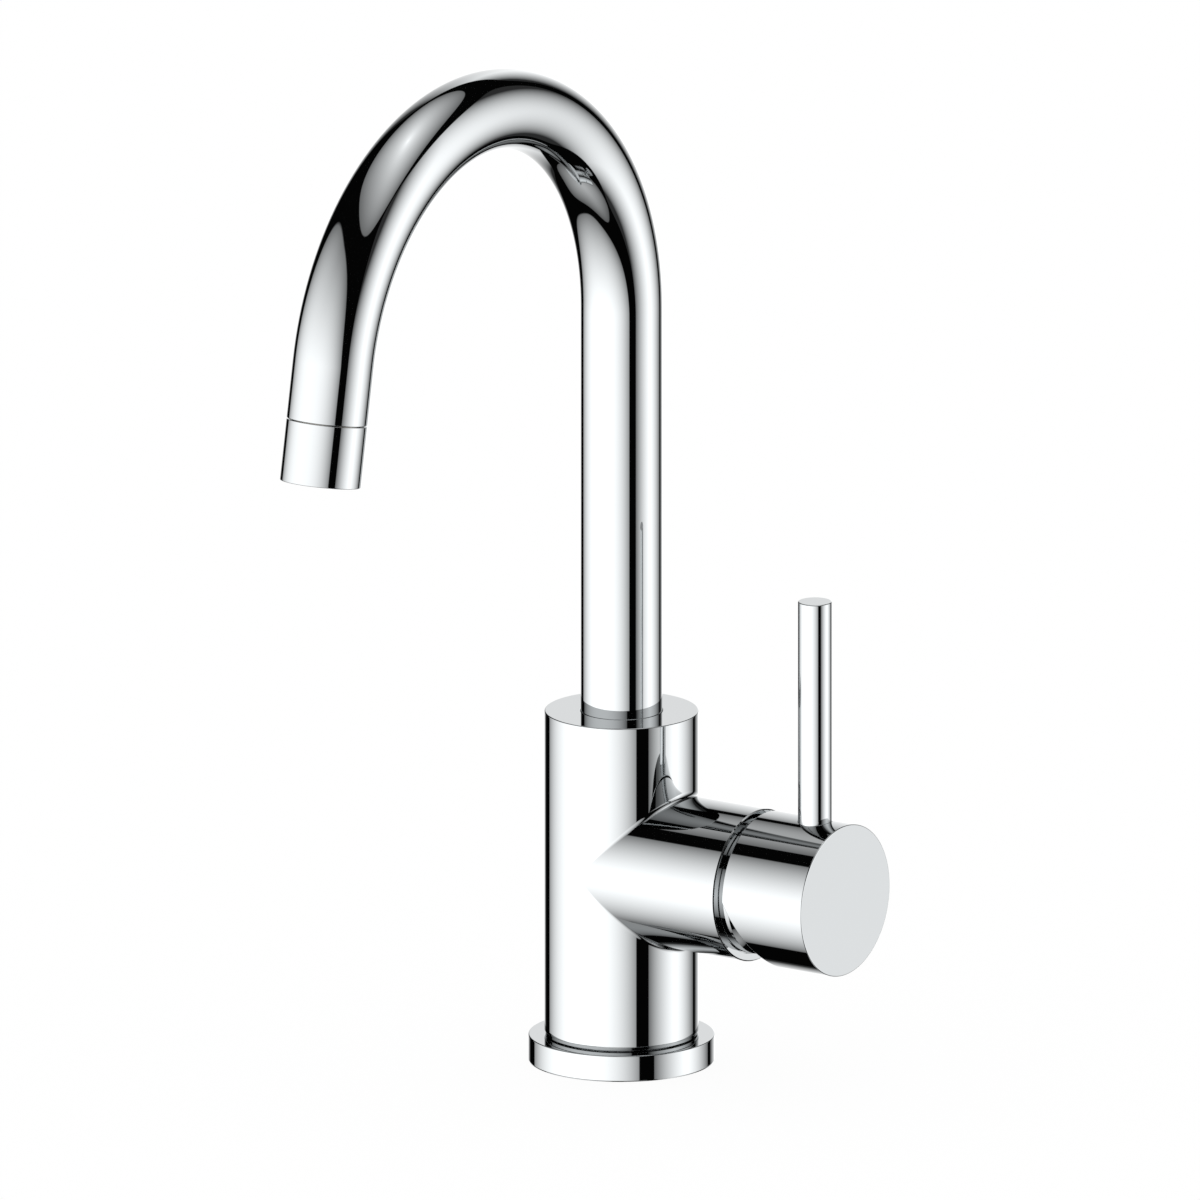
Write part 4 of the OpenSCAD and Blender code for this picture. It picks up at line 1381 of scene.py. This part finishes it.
@dataclass
class Body:
    """The casting of column and branch on its flange, with the inlets in its underside."""

    column_r: float
    top_z: float
    branch_z: float
    branch_x: float
    flange_r: float
    flange_h: float
    fillet_r: float = 1.6
    edge: float = 0.35
    fine_edge: float = 0.15
    crisp_edge: float = 0.04
    end_bevel: tuple[float, float] = (0.3, 0.36)
    collar_slot: tuple[float, float] = (20.6, 21.55)
    slot_depth: float = 1.2
    shoulder: float = 1.0
    reveal: float = 0.3
    reveal_h: float = 1.0
    foot_gap: float = 0.4
    gap_depth: float = 2.2
    spigot_r: float = 20.5
    spigot_z: float = 1.0
    recess_r: float = 18.5
    recess_z: float = 30.0
    socket_r: float = 12.75
    socket_l: float = 34.0
    thread_r: float = 18.95
    thread_l: float = 6.0
    chamber_r: float = 17.65
    chamber_l: float = 33.0
    keeper_r: float = 2.55
    keeper_drop: float = 17.7
    keeper_window: float = 4.0
    inlet: tuple[float, float] = (6.0, 9.5)
    inlet_steps: tuple[tuple[float, float], ...] = ((4.5, 12.0), (4.0, 24.0))
    stud_x: float = -13.0
    stud_steps: tuple[tuple[float, float], ...] = ((3.4, 14.0),)
    port: tuple[float, float] = (5.3, 5.3)
    port_steps: tuple[tuple[float, float], ...] = ((3.0, 8.0),)
    outlet_drop: float = 5.4
    outlet_steps: tuple[tuple[float, float], ...] = ((3.4, 12.0),)
    peg: tuple[float, float] = (-3.0, 13.0)
    peg_steps: tuple[tuple[float, float], ...] = ((1.55, 3.3),)
    mix_x: float = -5.0
    mix_steps: tuple[tuple[float, float], ...] = ((4.5, 10.0),)
    gasket_r: float = 27.0
    gasket_bore_r: float = 22.5
    gasket_t: float = 1.5
    foot_bevel: tuple[float, float] = (0.16, 0.36)
    seat_gap: float = 0.05
    columns: int = 192
    fillet_steps: int = 6

    @classmethod
    def from_frame(cls) -> "Body":
        """Takes the main sizes from the CAD nodes' boxes and the handle's pivot.

        Returns:
            The sub-assembly.
        """
        low, high = box_mm("faucet_body")
        _, flange = box_mm("base_flange")
        return cls(-low[1], high[2], branch_height(), high[0], flange[0], flange[2])

    @property
    def contact_r(self) -> float:
        """Distance of the fillet's rolling ball from both axes."""
        return self.column_r + self.fillet_r

    @property
    def reveal_z(self) -> float:
        """Height where the column's full width starts, over its stepped foot."""
        return self.flange_h + self.foot_gap + self.reveal_h

    @property
    def socket_z(self) -> float:
        """Height of the socket's floor."""
        return self.top_z - self.socket_l

    @property
    def chamber_x(self) -> float:
        """Place of the cartridge chamber's floor."""
        return self.branch_x - self.chamber_l

    @property
    def keeper_band(self) -> tuple[float, float]:
        """Lower and upper end of the wall's band with the keeper screw's hole."""
        middle = self.top_z - self.keeper_drop
        return middle - self.keeper_window, middle + self.keeper_window

    def _column(self, skin: Skin) -> None:
        """The column's wall, cut away where the branch's fillet starts, at heights zb +- (R + r) cos t.

        The angle t is counted from the branch's side; the other half is whole.

        Args:
            skin: the casting's skin.
        """
        turn = np.arange(self.columns)[:, None] * 2 * np.pi / self.columns
        out = np.hstack([np.cos(turn), np.sin(turn), np.zeros_like(turn)])
        cut = self.contact_r * np.maximum(np.cos(turn), 0.0)
        level = np.array([0.0, 0.0, 1.0])
        wall = self.column_r * out
        low, high = self.keeper_band
        foot_z = self.reveal_z + self.shoulder
        skin.add(*ruled(wall + foot_z * level, wall + (self.branch_z - cut) * level, out))
        skin.add(*ruled(wall + (self.branch_z + cut) * level, wall + low * level, out))
        skin.add(*ruled(wall + high * level, wall + (self.top_z - self.shoulder) * level, out))

    def _keeper_hole(self, skin: Skin) -> None:
        """The keeper screw's hole at the back, through the wall into the socket.

        Args:
            skin: the casting's skin.
        """
        low, high = self.keeper_band
        opening = Opening(self.columns // 4, (low + high) / 2, self.keeper_r, self.fine_edge)
        (outer,) = skin.band(UPRIGHT, self.column_r, (low, high), [opening], self.columns)
        (inner,) = skin.band(UPRIGHT, self.socket_r, (low, high), [opening], self.columns, facing=-1.0)
        skin.add(*ruled(outer.points, inner.points, -outer.spokes))

    def _branch(self, skin: Skin) -> None:
        """The branch's wall from the fillet, at x = (R + r) |cos t| with t from the top, to its chamber.

        Args:
            skin: the casting's skin.
        """
        turn = np.arange(self.columns)[:, None] * 2 * np.pi / self.columns
        out = np.hstack([np.zeros_like(turn), np.sin(turn), np.cos(turn)])
        forward = np.array([1.0, 0.0, 0.0])
        wall = self.column_r * out + np.array([0.0, 0.0, self.branch_z])
        start = wall + self.contact_r * np.abs(np.cos(turn)) * forward
        end = self.branch_x - self.shoulder
        skin.add(*ruled(start, wall + end * forward, out))
        seat, floor = self.branch_x - self.thread_l, self.chamber_x
        bevel_w, bevel_h = self.end_bevel
        slot_bore, slot_r, slot_floor = (*self.collar_slot, self.branch_x - self.slot_depth)
        skin.turn(
            [
                (self.column_r, end, 0),
                (self.column_r, self.branch_x - bevel_w, self.crisp_edge),
                (self.column_r - bevel_h, self.branch_x, self.crisp_edge),
                (slot_r, self.branch_x, self.crisp_edge),
                (slot_r, slot_floor, self.crisp_edge),
                (slot_bore, slot_floor, self.crisp_edge),
                (slot_bore, self.branch_x, self.crisp_edge),
                (self.thread_r, self.branch_x, self.fine_edge),
                (self.thread_r, seat, self.fine_edge),
                (self.chamber_r, seat, self.fine_edge),
                (self.chamber_r, floor, self.fine_edge),
                (self.chamber_r - self.shoulder, floor, 0),
            ],
            StraightAxis((0, 0, self.branch_z), (1, 0, 0), (0, 0, 1)),
            closed=False,
            columns=self.columns,
        )
        for side in (-1, 1):
            self._port(skin, self.port[0], side * self.port[1], self.port_steps)
            self._port(skin, self.peg[0], side * self.peg[1], self.peg_steps)
        self._port(skin, -self.outlet_drop, 0.0, self.outlet_steps)

    def _port(self, skin: Skin, up: float, across: float, steps: Sequence[tuple[float, float]]) -> None:
        """A hole in the chamber's floor, counted up and across from the branch's axis."""
        skin.blind(StraightAxis((self.chamber_x, across, self.branch_z + up), (1, 0, 0), (0, 0, 1)), steps)

    def _fillet(self, skin: Skin, side: float) -> None:
        """The fillet in the mitre above (side 1) or below (side -1) the branch, as a ball rolls along it.

        The ball's centre lies at ((R + r) cos t, (R + r) sin t, zb +- (R + r) cos t) for t from -90 to 90
        degrees. It touches the column towards -(cos t, sin t, 0) and the branch towards -(0, sin t, +-cos t),
        and the fillet is the arc between both, which shrinks to nothing at the front and the back.

        Args:
            skin: the casting's skin.
            side: 1 or -1.
        """
        turn = np.linspace(-np.pi / 2, np.pi / 2, self.columns // 2 + 1)
        cos, sin, zero = np.cos(turn), np.sin(turn), np.zeros_like(turn)
        ball = np.column_stack([cos, sin, side * cos]) * self.contact_r + np.array([0.0, 0.0, self.branch_z])
        first, last = -np.column_stack([cos, sin, zero]), -np.column_stack([zero, sin, side * cos])
        sweep = np.maximum(np.arccos(np.clip((first * last).sum(1), -1, 1)), TINY_ANGLE)[:, None]
        share = np.linspace(0, 1, self.fillet_steps + 1)[:, None, None]
        arc = (np.sin((1 - share) * sweep) * first + np.sin(share * sweep) * last) / np.sin(sweep)
        skin.add(ball + self.fillet_r * arc, -arc, wrap_columns=False)

    def _top(self, skin: Skin) -> None:
        """The column's top edge and face, and the socket that the spout stands in, with the water's way up.

        Args:
            skin: the casting's skin.
        """
        low, high = self.keeper_band
        outline = [
            (self.column_r, self.top_z - self.shoulder, 0),
            (self.column_r, self.top_z, self.edge),
            (self.socket_r, self.top_z, self.edge),
            (self.socket_r, high, 0),
        ]
        skin.turn(outline, closed=False, columns=self.columns)
        outline = [
            (self.socket_r, low, 0),
            (self.socket_r, self.socket_z, self.fine_edge),
            (self.socket_r - self.shoulder, self.socket_z, 0),
        ]
        skin.turn(outline, closed=False, columns=self.columns)
        skin.blind(StraightAxis((self.mix_x, 0, self.socket_z), (0, 0, 1), (1, 0, 0)), self.mix_steps)

    def _foot(self, skin: Skin) -> None:
        """The recess with its inlets and stud hole, the spigot in the flange, its gap and the stepped foot.

        Args:
            skin: the casting's skin.
        """
        gap_z = self.flange_h + self.foot_gap
        skin.turn(
            [
                (self.recess_r - self.shoulder, self.recess_z, 0),
                (self.recess_r, self.recess_z, self.fine_edge),
                (self.recess_r, self.spigot_z, self.fine_edge),
                (self.spigot_r, self.spigot_z, self.fine_edge),
                (self.spigot_r, self.flange_h, self.fine_edge),
                (self.column_r - self.gap_depth, self.flange_h, self.fine_edge),
                (self.column_r - self.gap_depth, gap_z, self.fine_edge),
                (self.column_r - self.reveal, gap_z, self.crisp_edge),
                (self.column_r - self.reveal, self.reveal_z, self.crisp_edge),
                (self.column_r, self.reveal_z, self.fine_edge),
                (self.column_r, self.reveal_z + self.shoulder, 0),
            ],
            closed=False,
            columns=self.columns,
        )
        for side in (-1, 1):
            mouth = StraightAxis((self.inlet[0], side * self.inlet[1], self.recess_z), (0, 0, -1), (1, 0, 0))
            skin.blind(mouth, self.inlet_steps)
        skin.blind(StraightAxis((self.stud_x, 0, self.recess_z), (0, 0, -1), (1, 0, 0)), self.stud_steps)

    def build(self) -> tuple[bpy.types.Object, bpy.types.Object]:
        """The casting and the flange.

        Returns:
            Both new pieces.
        """
        skin = Skin("faucet_body_cast")
        self._column(skin)
        self._keeper_hole(skin)
        self._branch(skin)
        self._fillet(skin, 1.0)
        self._fillet(skin, -1.0)
        self._top(skin)
        self._foot(skin)
        casting = skin.piece(plates=((2, self.recess_z), (2, self.socket_z), (0, self.chamber_x)))
        bore = self.spigot_r + self.seat_gap
        ring = Skin("base_flange_turned")
        ring.turn(
            [
                (bore, 0, self.fine_edge),
                (self.gasket_bore_r, 0, self.fine_edge),
                (self.gasket_bore_r, self.gasket_t, self.fine_edge),
                (self.gasket_r, self.gasket_t, self.fine_edge),
                (self.gasket_r, 0, self.fine_edge),
                (self.flange_r - self.foot_bevel[0], 0, self.crisp_edge),
                (self.flange_r, self.foot_bevel[1], self.crisp_edge),
                (self.flange_r, self.flange_h, self.edge),
                (bore, self.flange_h, self.fine_edge),
            ],
            columns=self.columns,
        )
        flange = ring.piece()
        for piece, node in ((casting, "faucet_body"), (flange, "base_flange")):
            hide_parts(node)
            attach(piece, "body")
        return casting, flange

    def dress(self, wardrobe: Wardrobe, casting: bpy.types.Object, flange: bpy.types.Object) -> None:
        """Chromes the casting and the flange; the gasket is rubber and the keeper screw steel.

        Args:
            wardrobe: the finishes.
            casting: the new casting.
            flange: the new flange.
        """
        wardrobe.wear(CHROME, casting, flange)
        wardrobe.wear_nodes(RUBBER, "base_gasket")
        wardrobe.wear_nodes(STEEL, "keeper_screw")


@dataclass
class Cartridge:
    """The ceramic disc cartridge inside the branch, with the nut and the domed collar over it."""

    def dress(self, wardrobe: Wardrobe) -> None:
        """Gives each piece of the cartridge its own plastic, ceramic, rubber or metal.

        Args:
            wardrobe: the finishes.
        """
        wardrobe.wear_nodes(ACETAL, "cartridge_base", "cartridge_shell", "turret", "disc_carrier")
        wardrobe.wear_nodes(CERAMIC, "fixed_disc", "moving_disc")
        wardrobe.wear_nodes(RUBBER, "inlet_seals", "outlet_seal")
        wardrobe.wear_nodes(STEEL, "tilt_pin")
        wardrobe.wear_nodes(BRASS_BRANCH, "cartridge_nut")
        wardrobe.wear_nodes(CHROME, "trim_collar")


@dataclass
class Handle:
    """The tilting cap with its lever rod, on the control stem."""

    axis_z: float
    start_x: float
    end_x: float
    rod_x: float
    rod_top_z: float
    cap_r: float = 24.0
    wall: float = 2.1
    end_wall: float = 2.4
    relief_deg: float = 26.5
    hub_x: float = 66.96
    hub_r: float = 8.0
    hub_edge: float = 0.05
    stem_r: float = 5.75
    stem_end: float = 4.9
    rod_r: float = 5.3
    rod_seat: float = 5.0
    stub_r: float = 3.0
    stub_end: float = 9.0
    stub_gap: float = 0.5
    boss_r: float = 6.4
    plug_r: float = 3.0
    plug_seat: float = 20.9
    grub_r: float = 2.5
    seat_gap: float = 0.05
    window: float = 5.9
    inner_window: float = 6.7
    grub_window: float = 4.0
    edge: float = 0.35
    fine_edge: float = 0.15
    shoulder: float = 0.4
    columns: int = 128
    hub_columns: int = 48
    rod_columns: int = 96

    @classmethod
    def from_frame(cls) -> "Handle":
        """Takes the main sizes from the CAD nodes' boxes and the handle's pivot.

        Returns:
            The sub-assembly.
        """
        low, high = box_mm("handle_cap")
        rod_low, rod_high = box_mm("lever_rod")
        return cls(branch_height(), low[0], high[0], (rod_low[0] + rod_high[0]) / 2, rod_high[2])

    @property
    def axis(self) -> StraightAxis:
        """The cap's own axis, with its columns counted from the top."""
        return StraightAxis((0, 0, self.axis_z), (1, 0, 0), (0, 0, 1))

    @property
    def inside_x(self) -> float:
        """Place of the end wall's inner face."""
        return self.end_x - self.end_wall

    def _around_rod(self, half: float) -> tuple[float, float]:
        """A stretch of the cap with the rod's place in its middle."""
        return self.rod_x - half, self.rod_x + half

    def _leaned(self, points: Array, normals: Array) -> tuple[Array, Array]:
        """Leans the cap's mouth back below the axis, so that the handle can tilt.

        A point h below the axis moves h tan(a) along the cap, and its normal n gains tan(a) n_x upwards.

        Args:
            points: grid of points of the cap's mouth.
            normals: grid of their normals.

        Returns:
            The changed grids.
        """
        lean = math.tan(math.radians(self.relief_deg))
        below = np.maximum(self.axis_z - points[..., 2], 0.0)
        points, normals = points.copy(), normals.copy()
        normals[..., 2] += lean * normals[..., 0] * (below > WELD / MM)
        points[..., 0] += lean * below
        return points, normals / np.linalg.norm(normals, axis=-1, keepdims=True)

    def _mouth(self, skin: Skin) -> None:
        """The mouth's edges with a short length of both walls, leaned back, and the walls up to the bands.

        Args:
            skin: the cap's skin.
        """
        bore, near = self.cap_r - self.wall, self.start_x + self.shoulder
        outline = rounded(
            [
                (bore, near, 0),
                (bore, self.start_x, self.fine_edge),
                (self.cap_r, self.start_x, self.edge),
                (self.cap_r, near, 0),
            ],
            closed=False,
        )
        mouth = self._leaned(*carried(*outline, self.axis, self.columns))
        skin.add(*mouth)
        inner, outer = self._around_rod(self.inner_window)[0], self._around_rod(self.window)[0]
        for row, radius, place, facing in ((0, bore, inner, -1.0), (-1, self.cap_r, outer, 1.0)):
            ring = np.array([[radius, place]]), np.array([[facing, 0.0]])
            end, normals = carried(*ring, self.axis, self.columns)
            skin.add(*ruled(mouth[0][row], end[0], normals[0]))

    def _end(self, skin: Skin) -> None:
        """The end wall, the inner wall behind the drilled band and the hub on the control stem.

        Args:
            skin: the cap's skin.
        """
        bore = self.cap_r - self.wall
        outer_high = self._around_rod(self.window)[1]
        inner_low, inner_high = self._around_rod(self.inner_window)
        grub_low, grub_high = self._around_rod(self.grub_window)
        stem_floor = self.end_x - self.stem_end
        outlines = {
            self.columns: (
                [(self.cap_r, outer_high, 0), (self.cap_r, self.end_x, self.edge), (0, self.end_x, 0)],
                [
                    (bore - self.shoulder, self.inside_x, 0),
                    (bore, self.inside_x, self.fine_edge),
                    (bore, inner_high, 0),
                ],
            ),
            self.hub_columns: (
                [
                    (self.hub_r, inner_high, 0),
                    (self.hub_r, self.inside_x, self.fine_edge),
                    (self.hub_r + self.shoulder, self.inside_x, 0),
                ],
                [
                    (self.stem_r, grub_low, 0),
                    (self.stem_r, self.hub_x, self.fine_edge),
                    (self.hub_r, self.hub_x, self.hub_edge),
                    (self.hub_r, inner_low, 0),
                ],
                [(0, stem_floor, 0), (self.stem_r, stem_floor, self.fine_edge), (self.stem_r, grub_high, 0)],
            ),
        }
        for columns, parts in outlines.items():
            for outline in parts:
                skin.turn(outline, self.axis, closed=False, columns=columns)

    def _holes(self, skin: Skin) -> None:
        """The drilled bands: the rod's seat above, the grub screw's way below, and the bosses round both.

        Args:
            skin: the cap's skin.
        """
        gap = self.seat_gap

        def pair(columns: int, above: float, below: float, edge: float) -> list[Opening]:
            """An opening at the top and one at the bottom, with their radii."""
            return [Opening(0, self.rod_x, above, edge), Opening(columns // 2, self.rod_x, below, edge)]

        rod, plug = skin.band(
            self.axis,
            self.cap_r,
            self._around_rod(self.window),
            pair(self.columns, self.rod_r + gap, self.plug_r + gap, self.fine_edge),
            self.columns,
        )
        inner_band = self._around_rod(self.inner_window)
        walls = skin.band(
            self.axis,
            self.cap_r - self.wall,
            inner_band,
            pair(self.columns, self.boss_r, self.boss_r, self.fine_edge),
            self.columns,
            facing=-1.0,
        )
        hubs = skin.band(
            self.axis,
            self.hub_r,
            inner_band,
            pair(self.hub_columns, self.boss_r, self.boss_r, self.fine_edge),
            self.hub_columns,
        )
        for wall, hub in zip(walls, hubs):
            skin.add(*ruled(wall.points, hub.points, wall.spokes))
        (grub,) = skin.band(
            self.axis,
            self.stem_r,
            self._around_rod(self.grub_window),
            pair(self.hub_columns, 0.0, self.grub_r + gap, self.fine_edge)[1:],
            self.hub_columns,
            facing=-1.0,
        )
        skin.drill(
            rod,
            [(rod.radius, self.cap_r - self.rod_seat), (self.stub_r + gap, self.stub_end - self.stub_gap)],
        )
        wide, narrow = plug.ring(plug.radius, self.plug_seat), plug.ring(grub.radius, self.plug_seat)
        skin.add(*ruled(plug.points, wide, -plug.spokes))
        skin.add(*ruled(wide, narrow, plug.outward))
        skin.add(*ruled(narrow, grub.points, -plug.spokes))

    def _rod(self) -> bpy.types.Object:
        """The rod: a turned bar with a stub that goes down into the cap's boss.

        Returns:
            The rod.
        """
        seat_z = self.axis_z + self.cap_r - self.rod_seat
        skin = Skin("lever_rod_turned")
        skin.turn(
            [
                (0, self.axis_z + self.stub_end, 0),
                (self.stub_r, self.axis_z + self.stub_end, self.fine_edge),
                (self.stub_r, seat_z, self.fine_edge),
                (self.rod_r, seat_z, self.fine_edge),
                (self.rod_r, self.rod_top_z, self.edge),
                (0, self.rod_top_z, 0),
            ],
            StraightAxis((self.rod_x, 0, 0), (0, 0, 1), (1, 0, 0)),
            closed=False,
            columns=self.rod_columns,
        )
        return skin.piece()

    def build(self) -> tuple[bpy.types.Object, bpy.types.Object]:
        """The cap and the rod.

        Returns:
            Both new pieces.
        """
        skin = Skin("handle_cap_turned")
        self._mouth(skin)
        self._end(skin)
        self._holes(skin)
        cap, rod = skin.piece(plates=((0, self.inside_x),)), self._rod()
        for piece, node in ((cap, "handle_cap"), (rod, "lever_rod")):
            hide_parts(node)
            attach(piece, "handle")
        return cap, rod

    def dress(self, wardrobe: Wardrobe, cap: bpy.types.Object, rod: bpy.types.Object) -> None:
        """Chromes cap and rod; the stem is brass, the grub screw steel and its plug grey plastic.

        Args:
            wardrobe: the finishes.
            cap: the new cap.
            rod: the new rod.
        """
        wardrobe.wear(CHROME, cap, rod)
        wardrobe.wear_nodes(BRASS_BRANCH, "control_stem")
        wardrobe.wear_nodes(STEEL, "grub_screw")
        wardrobe.wear_nodes(PLUG_PLASTIC, "screw_plug")


def main() -> None:
    """Sets up the studio and builds and dresses every sub-assembly."""
    logging.basicConfig(level=logging.INFO, format="%(name)s: %(message)s")
    Studio().set_up()
    wardrobe = Wardrobe()
    spout = Spout()
    spout.dress(wardrobe, spout.build())
    aerator = Aerator()
    aerator.dress(wardrobe, aerator.build())
    body = Body.from_frame()
    body.dress(wardrobe, *body.build())
    Cartridge().dress(wardrobe)
    handle = Handle.from_frame()
    handle.dress(wardrobe, *handle.build())


if __name__ == "__main__":
    main()
